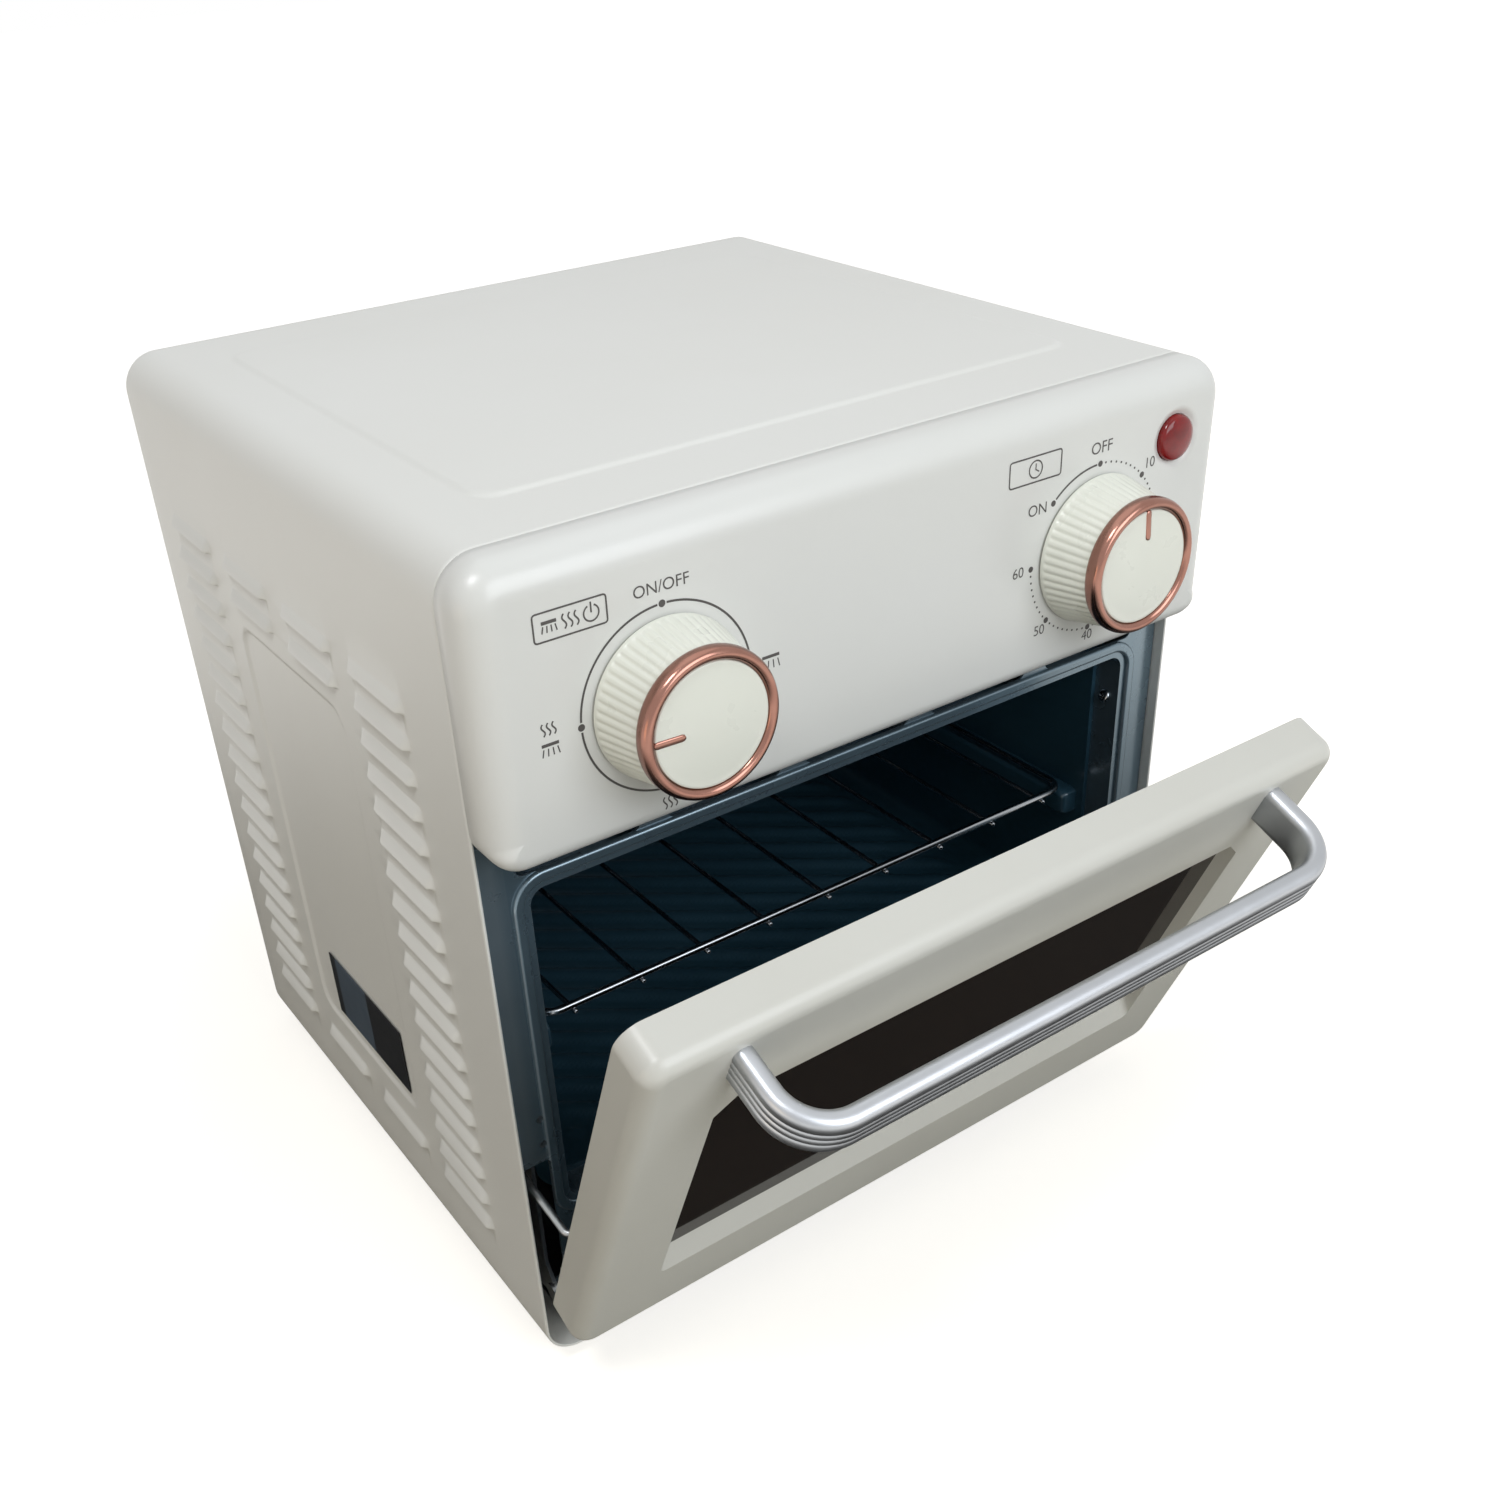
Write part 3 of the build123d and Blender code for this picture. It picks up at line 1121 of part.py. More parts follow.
def terminal_block():
    """The mains terminal block on the base pan."""
    z0 = 2 * SHEET
    y1 = COVER_Y - 24.0
    body = block(GLAND_X - 20, GLAND_X + 20, y1 - 16, y1, z0, z0 + 13)
    for number in range(3):
        x = GLAND_X - 13 + number * 13
        body -= along_z(2.2, x, y1 - 8, z0 + 5, z0 + 14)
    return body


def side_plate():
    """The blank rating plate stuck in the left recessed field."""
    x1 = -SIDE + EMBOSS
    return block(x1 - PLATE_T, x1, *PLATE_Y, *PLATE_Z)


# ---- build ----------------------------------------------------------------
def build_cabinet():
    """Writes what does not move."""
    save("outer_shell", outer_shell())
    save("base_pan", base_pan())
    save("feet", *[foot(x, y) for x, y in foot_places()])
    save("rear_cover", rear_cover())
    save("rear_cover_screws", *[screw(x, SHELL_D, z, COVER_SCREW_L) for x, z in cover_screw_places()])
    save("cord_gland", cord_gland())
    save("front_frame", front_frame())
    save("cavity_liner", cavity_liner())
    save("cavity_back", cavity_back())
    save("liner_screws", *[liner_screw(side, z) for side, z in liner_screw_places()])
    save("rack_rail_left", rack_rail(-1))
    save("rack_rail_right", rack_rail(1))
    save("control_panel", control_panel())
    save("panel_screws", *[screw(x, FRAME_BACK, z, PANEL_SCREW_L) for x, z in panel_screw_places()])
    save("control_bracket", control_bracket())
    back = FRAME_BACK + CARRIER_T
    save("bracket_screws", *[screw(x, back, z, BRACKET_SCREW_L) for x, z in bracket_screw_places()])
    save("function_switch", switch(-1, SWITCH_W, SWITCH_L))
    save("timer_body", switch(1, TIMER_W, TIMER_L))
    save("bush_nuts", bush_nut(-1), bush_nut(1))
    save("pilot_lens", pilot_lens())
    save("pilot_lamp", pilot_lamp())
    save("side_plate", side_plate())
    save("hinge_bracket_left", hinge_bracket(-1))
    save("hinge_bracket_right", hinge_bracket(1))
    back = FRAME_BACK + BRACKET_T
    save("hinge_screws", *[screw(x, back, z, HINGE_SCREW_L) for x, z in hinge_screw_places()])
    save("hinge_pins", hinge_pin(-1), hinge_pin(1))
    save("guide_rollers", *[guide_roller(side, way) for side in (-1, 1) for way in (-1, 1)])
    save("reed_switch", reed_switch())


def build_inside():
    """Writes the lamp, the fan and the electrical pieces."""
    save("uv_lamp", uv_lamp())
    save("uv_holders", uv_holder(-1), uv_holder(1))
    save("uv_reflector", uv_reflector())
    save("lamp_ballast", ballast())
    save("fan_housing", fan_housing())
    save("fan_motor", fan_motor())
    save("fan_rotor", fan_rotor())
    save("heater", heater())
    save("thermal_cutout", thermal_cutout())
    save("terminal_block", terminal_block())
    save("wire_rack", wire_rack())


def build_door():
    """Writes the door in its drawn, half-open position, and the stays."""
    save("door_frame", door_pose(door_frame()))
    save("door_glass", door_pose(door_glass()))
    save("door_inner_frame", door_pose(door_inner_frame()))
    screws = [screw(x, DOOR_BACK, z, DOOR_SCREW_L) for x, z in door_screw_places()]
    save("door_screws", *[door_pose(piece) for piece in screws])
    save("glass_gasket", door_pose(glass_gasket()))
    save("door_magnet", door_pose(magnet()))
    save("handle", door_pose(handle()))
    save("handle_screws", door_pose(handle_screw(-1)), door_pose(handle_screw(1)))
    save("stay_left", stay_rod(-1))
    save("stay_right", stay_rod(1))


def build_knobs():
    """Writes the function knob, pointing left, and the timer knob, pointing up."""
    for name, side, turn in (("function", -1, -90), ("timer", 1, 0)):
        skirt, ring, cap, cap_front = knob(side)
        mark = pointer(side, turn, cap_front)
        save(name + "_knob", skirt)
        save(name + "_knob_ring", ring)
        save(name + "_knob_cap", cap - mark)
        save(name + "_knob_pointer", mark)
        save(name + "_shaft", knob_shaft(side))


build_cabinet()
build_inside()
build_door()
build_knobs()
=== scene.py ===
"""Looks of a dish sterilizer cabinet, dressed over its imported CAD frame.

The drawing is in millimetres: x to the right of the middle, y back from the
shell's front edge, z up from the shell's underside. spot() turns a drawing
point into a scene point in metres. Door pieces are drawn on the closed door
and turned about its hinge to the half-open position.
"""

from __future__ import annotations

import logging
import math
from collections.abc import Callable, Iterable, Sequence
from dataclasses import dataclass, field
from enum import Enum

import bmesh
import bpy
from bpy.types import Material, NodeSocket, NodeTree, Object
from mathutils import Matrix, Vector

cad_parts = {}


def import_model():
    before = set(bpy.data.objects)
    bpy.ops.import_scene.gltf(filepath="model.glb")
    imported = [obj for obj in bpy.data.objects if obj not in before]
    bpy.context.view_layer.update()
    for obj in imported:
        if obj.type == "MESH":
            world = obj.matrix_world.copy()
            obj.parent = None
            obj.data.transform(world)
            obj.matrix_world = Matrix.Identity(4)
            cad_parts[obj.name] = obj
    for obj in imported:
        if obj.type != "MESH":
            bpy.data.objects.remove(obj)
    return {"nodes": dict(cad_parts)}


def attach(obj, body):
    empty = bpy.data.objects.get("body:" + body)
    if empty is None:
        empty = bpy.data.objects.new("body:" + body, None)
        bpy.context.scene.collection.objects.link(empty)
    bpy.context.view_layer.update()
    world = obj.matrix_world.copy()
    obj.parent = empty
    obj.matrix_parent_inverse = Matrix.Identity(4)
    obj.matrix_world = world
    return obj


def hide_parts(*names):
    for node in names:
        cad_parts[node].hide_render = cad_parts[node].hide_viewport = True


LOG = logging.getLogger("cabinet")
MM = 0.001
FRONT_EDGE = -142.0
UNDERSIDE = 6.0
HINGE_Y = 4.5
HINGE_Z = 30.0
DOOR_ANGLE = 22.45
CAD_JOIN = 1e-6
SKIN_JOIN = 1e-7

Pair = tuple[float, float]
Rows = list[list[Vector]]
BMesh = bmesh.types.BMesh
Ring = Sequence[bmesh.types.BMVert]
Mesh = bpy.types.Mesh


# ---- drawing helpers --------------------------------------------------------
def spot(x: float, y: float, z: float) -> Vector:
    """Turns a drawing point in millimetres into a scene point in metres."""
    return Vector((x, y + FRONT_EDGE, z + UNDERSIDE)) * MM


def on_door(x: float, y: float, z: float) -> Vector:
    """Turns a point drawn on the closed door into a scene point of the open door.

    Args:
        x: place across, in millimetres.
        y: place from front to back on the closed door.
        z: height on the closed door.

    Returns:
        The point in metres.
    """
    angle = math.radians(DOOR_ANGLE)
    dy, dz = y - HINGE_Y, z - HINGE_Z
    turned_y = HINGE_Y + dy * math.cos(angle) - dz * math.sin(angle)
    turned_z = HINGE_Z + dy * math.sin(angle) + dz * math.cos(angle)
    return spot(x, turned_y, turned_z)


def linear(code: str) -> tuple[float, float, float, float]:
    """Turns an sRGB hex colour into linear values.

    Args:
        code: six hex digits after a number sign.

    Returns:
        Red, green, blue and an alpha of one.
    """
    parts = [int(code[i : i + 2], 16) / 255 for i in (1, 3, 5)]
    red, green, blue = (c / 12.92 if c <= 0.04045 else ((c + 0.055) / 1.055) ** 2.4
                        for c in parts)
    return red, green, blue, 1.0


def ease(value: float) -> float:
    """Smooth step of a value, held between nought and one."""
    held = min(max(value, 0.0), 1.0)
    return held * held * (3 - 2 * held)


def spread(start: float, end: float, steps: int) -> list[float]:
    """Evenly spaced values from start to end, both included."""
    return [start + (end - start) * i / steps for i in range(steps + 1)]


def near(edge: float, *steps: float) -> list[float]:
    """Values on both sides of an edge, at the given distances."""
    return [edge + way * step for step in steps for way in (-1, 1)]


def arc(cx: float, cz: float, radius: float, start: float, end: float, steps: int) -> list[Pair]:
    """Points on a circle; angles in degrees, anticlockwise from the right."""
    turns = [math.radians(a) for a in spread(start, end, steps)]
    return [(cx + radius * math.cos(t), cz + radius * math.sin(t)) for t in turns]


def circle(cx: float, cz: float, radius: float, sides: int) -> list[Pair]:
    """Corners of a regular outline, anticlockwise from the right."""
    return arc(cx, cz, radius, 0, 360 * (sides - 1) / sides, sides - 1)


def on_clock(cx: float, cz: float, radius: float, clock: float) -> Pair:
    """A point on a circle; clock is in degrees clockwise from 12."""
    turn = math.radians(clock)
    return cx + radius * math.sin(turn), cz + radius * math.cos(turn)


def rounded_box(width: float, height: float, radii: Sequence[float],
                steps: int = 8) -> list[Pair]:
    """Outline of a rounded rectangle about the origin.

    Args:
        width: full size across.
        height: full size upwards.
        radii: corner radii, from the upper right corner anticlockwise.
        steps: segments in each corner.

    Returns:
        The points, anticlockwise.
    """
    points: list[Pair] = []
    signs = ((1, 1), (-1, 1), (-1, -1), (1, -1))
    for number, ((sx, sz), radius) in enumerate(zip(signs, radii)):
        cx, cz = sx * (width / 2 - radius), sz * (height / 2 - radius)
        points += arc(cx, cz, radius, 90 * number, 90 * number + 90, steps)
    return points


def inward(outline: Sequence[Pair]) -> list[Pair]:
    """Unit vectors into an outline, one at each of its points.

    Args:
        outline: points, anticlockwise.

    Returns:
        The vectors, in the same order.
    """
    found = []
    for i, _ in enumerate(outline):
        (x0, z0), (x1, z1) = outline[i - 1], outline[(i + 1) % len(outline)]
        dx, dz = x1 - x0, z1 - z0
        size = math.hypot(dx, dz) or 1.0
        found.append((-dz / size, dx / size))
    return found


# ---- meshes -----------------------------------------------------------------
def as_object(name: str, data: bpy.types.ID) -> Object:
    """Puts a mesh, curve, lamp or camera into the scene as an object at the origin.

    Args:
        name: the object's name.
        data: what it shows.

    Returns:
        The new object.
    """
    made = bpy.data.objects.new(name, data)
    bpy.context.scene.collection.objects.link(made)
    return made


def settled(name: str, work: BMesh) -> Mesh:
    """Turns a working mesh into a plain one.

    Args:
        name: the mesh's name.
        work: the working mesh; it is freed.

    Returns:
        The new mesh.
    """
    mesh = bpy.data.meshes.new(name)
    work.to_mesh(mesh)
    work.free()
    return mesh


def merged(node: Object) -> BMesh:
    """Joins the corners of a CAD node's loose triangles.

    Args:
        node: the CAD node.

    Returns:
        A working copy of its mesh, with its corners joined.
    """
    work = bmesh.new()
    work.from_mesh(node.data)
    bmesh.ops.remove_doubles(work, verts=work.verts, dist=CAD_JOIN)
    return work


def bridge(work: BMesh, rings: Sequence[Ring]) -> None:
    """Joins each closed ring of vertices to the next with a band of quads.

    Args:
        work: the mesh that holds the rings.
        rings: rings with the same number of vertices.
    """
    for a, b in zip(rings, rings[1:]):
        for j, _ in enumerate(a):
            k = (j + 1) % len(a)
            work.faces.new((a[j], a[k], b[k], b[j]))


def fill_between(work: BMesh, outer: Ring, inner: Ring) -> None:
    """Fills the flat face between two rings, and turns all faces outwards.

    Args:
        work: the mesh that holds the rings.
        outer: the face's outer edge.
        inner: the edge of the hole in it.
    """
    edges = [work.edges.get((ring[j], ring[(j + 1) % len(ring)]))
             for ring in (outer, inner) for j, _ in enumerate(ring)]
    bmesh.ops.triangle_fill(work, edges=edges, use_beauty=True)
    bmesh.ops.recalc_face_normals(work, faces=work.faces)


def shade(mesh: Mesh, sharp: float) -> None:
    """Shades a mesh smooth; edges steeper than this many degrees stay sharp."""
    mesh.shade_smooth()
    mesh.set_sharp_from_angle(angle=math.radians(sharp))


def finish_mesh(mesh: Mesh, closed: bool, sharp: float = 40.0) -> None:
    """Joins doubled points, points the faces outwards and shades the mesh.

    Args:
        mesh: the mesh to finish.
        closed: whether it is a closed body, whose faces can be turned outwards.
        sharp: edges steeper than this many degrees stay sharp.
    """
    work = bmesh.new()
    work.from_mesh(mesh)
    bmesh.ops.remove_doubles(work, verts=work.verts, dist=SKIN_JOIN)
    if closed:
        bmesh.ops.recalc_face_normals(work, faces=work.faces)
    work.to_mesh(mesh)
    work.free()
    shade(mesh, sharp)


def skin(name: str, rows: Rows, wrap_rows: bool = False, wrap_points: bool = False,
         caps: bool = False, sharp: float = 40.0) -> Object:
    """Joins rows of points into one skin of quads, with a UV map in metres.

    Args:
        name: the object's name.
        rows: rows with the same number of points.
        wrap_rows: whether the last row joins the first.
        wrap_points: whether each row is a closed loop.
        caps: whether the first and last loops are closed with a face.
        sharp: edges steeper than this many degrees stay sharp.

    Returns:
        The new object.
    """
    count, width = len(rows), len(rows[0])
    faces = []
    for i in range(count if wrap_rows else count - 1):
        for j in range(width if wrap_points else width - 1):
            k, m = (i + 1) % count, (j + 1) % width
            faces.append((i * width + j, i * width + m, k * width + m, k * width + j))
    mesh = bpy.data.meshes.new(name)
    ends = []
    if caps and wrap_points:
        ends = [tuple(reversed(range(width))), tuple(range((count - 1) * width, count * width))]
    if caps and wrap_rows:
        ends = [tuple(i * width for i in range(count)),
                tuple((count - i) * width - 1 for i in range(count))]
    mesh.from_pydata([p for row in rows for p in row], [], faces + ends)
    middle = count // 2
    along = [0.0]
    for i in range(1, count + 1):
        along.append(along[-1] + (rows[i % count][0] - rows[i - 1][0]).length)
    across = [0.0]
    for j in range(1, width + 1):
        across.append(across[-1] + (rows[middle][j % width] - rows[middle][j - 1]).length)
    layer = mesh.uv_layers.new(name="run")
    for number, polygon in enumerate(mesh.polygons[:len(faces)]):
        i, j = divmod(number, width if wrap_points else width - 1)
        corners = ((i, j), (i, j + 1), (i + 1, j + 1), (i + 1, j))
        for loop, (a, b) in zip(polygon.loop_indices, corners):
            layer.data[loop].uv = (along[a], across[b])
    finish_mesh(mesh, wrap_points and (caps or wrap_rows) or (caps and wrap_rows), sharp)
    return as_object(name, mesh)


def turned(profile: Sequence[Pair], steps: int, upright: bool = False,
           shift: float = 0.0) -> Rows:
    """Turns a profile about an axis through the origin.

    Args:
        profile: (radius, place along the axis) points in millimetres.
        steps: points round the axis.
        upright: whether the axis is Z instead of Y.
        shift: part of a step by which the first point is turned on.

    Returns:
        A closed row of points in metres for each point of the profile.
    """
    rows: Rows = []
    for radius, along in profile:
        row = []
        for i in range(steps):
            turn = 2 * math.pi * (i + shift) / steps
            a, b = radius * math.cos(turn), radius * math.sin(turn)
            row.append(Vector((a, b, along) if upright else (a, along, b)) * MM)
        rows.append(row)
    return rows


def lathe(name: str, centre: Pair, profile: Sequence[Pair], steps: int,
          ripple: Callable[[float, float], float] | None = None, sharp: float = 40.0) -> Object:
    """Turns a profile about an axis that runs front to back.

    Args:
        name: the object's name.
        centre: x and z of the axis.
        profile: (radius, y) points, from one end of the axis to the other.
        steps: segments round the axis.
        ripple: change of the radius at an angle in radians and a y, if any.
        sharp: edges steeper than this many degrees stay sharp.

    Returns:
        The new object.
    """
    cx, cz = centre
    rows: Rows = []
    for radius, y in profile:
        row = []
        for i in range(steps):
            turn = 2 * math.pi * i / steps
            reach = radius + (ripple(turn, y) if ripple else 0.0)
            row.append(spot(cx + reach * math.cos(turn), y, cz + reach * math.sin(turn)))
        rows.append(row)
    return skin(name, rows, wrap_points=True, caps=True, sharp=sharp)


def sweep(name: str, path: Sequence[Vector], section: Sequence[Pair], up: Vector,
          loop: bool = False, sharp: float = 40.0) -> Object:
    """Draws a closed section along a path that lies in one plane.

    Args:
        name: the object's name.
        path: points in metres.
        section: (across, upwards) points in millimetres.
        up: unit vector square to the path's plane.
        loop: whether the path closes on itself.
        sharp: edges steeper than this many degrees stay sharp.

    Returns:
        The new object.
    """
    rows: Rows = []
    count = len(path)
    for i, point in enumerate(path):
        before = path[i - 1] if loop or i else path[0]
        after = path[(i + 1) % count] if loop or i + 1 < count else path[-1]
        tangent = (after - before).normalized()
        across = tangent.cross(up)
        rows.append([point + (across * a + up * b) * MM for a, b in section])
    return skin(name, rows, wrap_rows=loop, wrap_points=True, caps=not loop, sharp=sharp)


def bent_path(corners: Sequence[Vector], radius: float, steps: int,
              piece: float = 6.0) -> list[Vector]:
    """A path through corners with round bends; straight runs are cut into pieces.

    Args:
        corners: the ends and the sharp corners, in metres.
        radius: bend radius in millimetres.
        steps: segments in each bend.
        piece: greatest length of a straight segment in millimetres.

    Returns:
        Points in metres.
    """
    marks = [corners[0]]
    for before, corner, after in zip(corners, corners[1:], corners[2:]):
        back, ahead = (before - corner).normalized(), (after - corner).normalized()
        half = back.angle(ahead) / 2
        reach = radius * MM / math.tan(half)
        hub = corner + (back + ahead).normalized() * (radius * MM / math.sin(half))
        start, end = corner + back * reach - hub, corner + ahead * reach - hub
        axis, swing = start.cross(end).normalized(), start.angle(end)
        marks += [hub + Matrix.Rotation(swing * i / steps, 3, axis) @ start
                  for i in range(steps + 1)]
    marks.append(corners[-1])
    path = [marks[0]]
    for a, b in zip(marks, marks[1:]):
        parts = max(1, math.ceil((b - a).length / (piece * MM)))
        path += [a.lerp(b, i / parts) for i in range(1, parts + 1)]
    return path


def baked(source: Object) -> Mesh:
    """Works out an object's form with its modifiers.

    Args:
        source: the object.

    Returns:
        Its evaluated form as a plain mesh.
    """
    bpy.context.view_layer.update()
    shown = source.evaluated_get(bpy.context.evaluated_depsgraph_get())
    return bpy.data.meshes.new_from_object(shown)


def dress(piece: Object, body: str, node: str = "",
          finish: Material | None = None) -> None:
    """Puts a finished piece on its body and in place of its CAD node.

    Args:
        piece: the piece, drawn in its place.
        body: the body that it rides on.
        node: the CAD node that it stands for, if it stands for one.
        finish: its material, unless the mesh already has one.
    """
    if finish:
        piece.data.materials.append(finish)
    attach(piece, body)
    if node:
        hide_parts(node)
    LOG.info("%s: %d faces", piece.name, len(piece.data.polygons))


# ---- node trees -------------------------------------------------------------
def add_node(tree: NodeTree, kind: str, inputs: dict[str | int, object] | None = None,
             **settings: object) -> bpy.types.Node:
    """Adds one node with its settings and links.

    Args:
        tree: the tree to add to.
        kind: the node's type name.
        inputs: for a socket's name or number, a value, or an output to link.
        **settings: properties of the node.

    Returns:
        The new node.
    """
    made = tree.nodes.new(kind)
    for key, value in settings.items():
        setattr(made, key, value)
    for key, value in (inputs or {}).items():
        if isinstance(value, NodeSocket):
            tree.links.new(value, made.inputs[key])
        else:
            made.inputs[key].default_value = value
    return made


def fresh_tree(owner: Material | bpy.types.World) -> NodeTree:
    """Turns on the nodes of a material or a world, and clears them.

    Args:
        owner: the material or world.

    Returns:
        Its empty tree.
    """
    owner.use_nodes = True
    owner.node_tree.nodes.clear()
    return owner.node_tree


@dataclass
class Growth:
    """A Geometry Nodes tree with named inputs, and what they are set to.

    Attributes:
        name: the tree's name.
        source: the name of the geometry that goes in.
        inputs: the kind of each other input, by its name.
        result: the name of the geometry that comes out.
    """

    name: str
    source: str
    inputs: dict[str, str]
    result: str

    def __post_init__(self) -> None:
        """Makes the empty tree and its sockets."""
        self.tree = bpy.data.node_groups.new(self.name, "GeometryNodeTree")
        face = self.tree.interface
        face.new_socket(self.source, in_out="INPUT", socket_type="NodeSocketGeometry")
        self.keys = {key: face.new_socket(key, in_out="INPUT", socket_type=kind).identifier
                     for key, kind in self.inputs.items()}
        face.new_socket(self.result, in_out="OUTPUT", socket_type="NodeSocketGeometry")
        self.given = add_node(self.tree, "NodeGroupInput").outputs

    def end(self, grown: NodeSocket) -> None:
        """Makes the copies real, dresses them and ends the tree.

        Args:
            grown: the geometry with its copies.
        """
        real = add_node(self.tree, "GeometryNodeRealizeInstances", {"Geometry": grown})
        dressed = add_node(self.tree, "GeometryNodeSetMaterial", {
            "Geometry": real.outputs[0], "Material": self.given["Finish"]})
        add_node(self.tree, "NodeGroupOutput", {self.result: dressed.outputs[0]})

    def grow(self, holder: Object, values: dict[str, object]) -> Mesh:
        """Runs the tree on an object.

        Args:
            holder: the object that goes in; it is removed.
            values: what each input is set to, by its name.

        Returns:
            The result as a plain mesh.
        """
        modifier = holder.modifiers.new(self.name, "NODES")
        modifier.node_group = self.tree
        for key, value in values.items():
            modifier[self.keys[key]] = value
        mesh = baked(holder)
        bpy.data.objects.remove(holder)
        return mesh


class Space(Enum):
    """Where a finish reads its pattern."""

    OBJECT = "Object"
    RUN = "UV"


# Noise lies mostly between these two values.
NOISE_LOW, NOISE_HIGH = 0.2, 0.8
# Pointiness at which the painted highlight on an edge starts, and at which it is full.
RIDGE_START, RIDGE_FULL = 0.52, 0.6
# The near-white of the painted highlight on raised edges.
EDGE_HIGHLIGHT = "#f3f3f1"
# Size of a wiping mark, as a share of a colour blotch.
SMEAR_SHARE = 0.35
LEAST_ROUGHNESS = 0.02


@dataclass(frozen=True)
class Finish:
    """One surface finish, built as a node material.

    Attributes:
        name: the real material and how its surface was made.
        colour: its sRGB colour.
        second: the sRGB colour that it drifts to in blotches.
        drift: how far it drifts, from nought to one.
        drift_mm: size of a blotch.
        roughness: middle roughness.
        unevenness: how much the roughness varies.
        metallic: one for bare metal.
        ior: index of refraction of a surface that isn't metal.
        coat: strength of a clear top layer.
        coat_roughness: roughness of that layer.
        grain_mm: size of the fine relief.
        grain_depth_mm: depth of the fine relief.
        stretch: how far the grain is drawn out along the run or along X.
        space: where the pattern is read.
        clear: share of light that passes through.
        edge_highlight: how much the raised edges are painted bright, a painted highlight.
        sheen_level: strength of the plain reflection, a half for most materials.
    """

    name: str
    colour: str
    second: str = ""
    drift: float = 0.3
    drift_mm: float = 60.0
    roughness: float = 0.4
    unevenness: float = 0.06
    metallic: float = 0.0
    ior: float = 1.5
    coat: float = 0.0
    coat_roughness: float = 0.08
    grain_mm: float = 2.0
    grain_depth_mm: float = 0.02
    stretch: float = 1.0
    space: Space = Space.OBJECT
    clear: float = 0.0
    edge_highlight: float = 0.0
    sheen_level: float = 0.5

    def build(self) -> Material:
        """Builds the material.

        Returns:
            The new material.
        """
        material = bpy.data.materials.new(self.name)
        tree = fresh_tree(material)
        place = add_node(tree, "ShaderNodeTexCoord").outputs[self.space.value]
        colour = self.tone(tree, place)
        rough = self.gloss(tree, place)
        shader = add_node(tree, "ShaderNodeBsdfPrincipled", {
            "Base Color": colour, "Roughness": rough, "Metallic": self.metallic,
            "Coat Weight": self.coat, "Coat Roughness": self.coat_roughness,
            "Transmission Weight": self.clear, "Normal": self.relief(tree, place)})
        if not self.metallic:
            shader.inputs["IOR"].default_value = self.ior
            shader.inputs["Specular IOR Level"].default_value = self.sheen_level
        add_node(tree, "ShaderNodeOutputMaterial", {"Surface": shader.outputs[0]})
        return material

    def tone(self, tree: NodeTree, place: NodeSocket) -> NodeSocket:
        """The colour, drifting in soft blotches, with a painted highlight on raised edges.

        Args:
            tree: the material's tree.
            place: where the pattern is read.

        Returns:
            The colour.
        """
        blotch = add_node(tree, "ShaderNodeTexNoise", {
            "Vector": place, "Scale": 1 / (self.drift_mm * MM), "Detail": 3.0, "Roughness": 0.55})
        ramp = add_node(tree, "ShaderNodeMapRange", {
            "Value": blotch.outputs[0], "From Min": NOISE_LOW, "From Max": NOISE_HIGH,
            "To Max": self.drift})
        mixed = add_node(tree, "ShaderNodeMix", {
            0: ramp.outputs[0], 6: linear(self.colour), 7: linear(self.second or self.colour)},
            data_type="RGBA")
        if not self.edge_highlight:
            return mixed.outputs[2]
        # Painted highlight: raised edges, found by pointiness, are lightened towards near-white.
        ridge = add_node(tree, "ShaderNodeNewGeometry").outputs["Pointiness"]
        highlight_share = add_node(tree, "ShaderNodeMapRange", {
            "Value": ridge, "From Min": RIDGE_START, "From Max": RIDGE_FULL,
            "To Max": self.edge_highlight})
        highlighted = add_node(tree, "ShaderNodeMix", {
            0: highlight_share.outputs[0], 6: mixed.outputs[2], 7: linear(EDGE_HIGHLIGHT)}, data_type="RGBA")
        return highlighted.outputs[2]

    def gloss(self, tree: NodeTree, place: NodeSocket) -> NodeSocket:
        """The roughness, a little uneven as from wiping and handling.

        Args:
            tree: the material's tree.
            place: where the pattern is read.

        Returns:
            The roughness.
        """
        smear = add_node(tree, "ShaderNodeTexNoise", {
            "Vector": place, "Scale": 1 / (SMEAR_SHARE * self.drift_mm * MM), "Detail": 4.0})
        low, high = self.roughness - self.unevenness, self.roughness + self.unevenness
        level = add_node(tree, "ShaderNodeMapRange", {
            "Value": smear.outputs[0], "From Min": NOISE_LOW, "From Max": NOISE_HIGH,
            "To Min": max(low, LEAST_ROUGHNESS), "To Max": high})
        return level.outputs[0]

    def relief(self, tree: NodeTree, place: NodeSocket) -> NodeSocket:
        """The fine grain as a bump.

        Args:
            tree: the material's tree.
            place: where the pattern is read.

        Returns:
            The normal.
        """
        drawn = add_node(tree, "ShaderNodeMapping", {
            "Vector": place, "Scale": (1 / self.stretch, 1.0, 1.0)})
        grain = add_node(tree, "ShaderNodeTexNoise", {
            "Vector": drawn.outputs[0], "Scale": 1 / (self.grain_mm * MM), "Detail": 2.0})
        bump = add_node(tree, "ShaderNodeBump", {
            "Height": grain.outputs[0], "Strength": 1.0, "Distance": self.grain_depth_mm * MM})
        return bump.outputs[0]


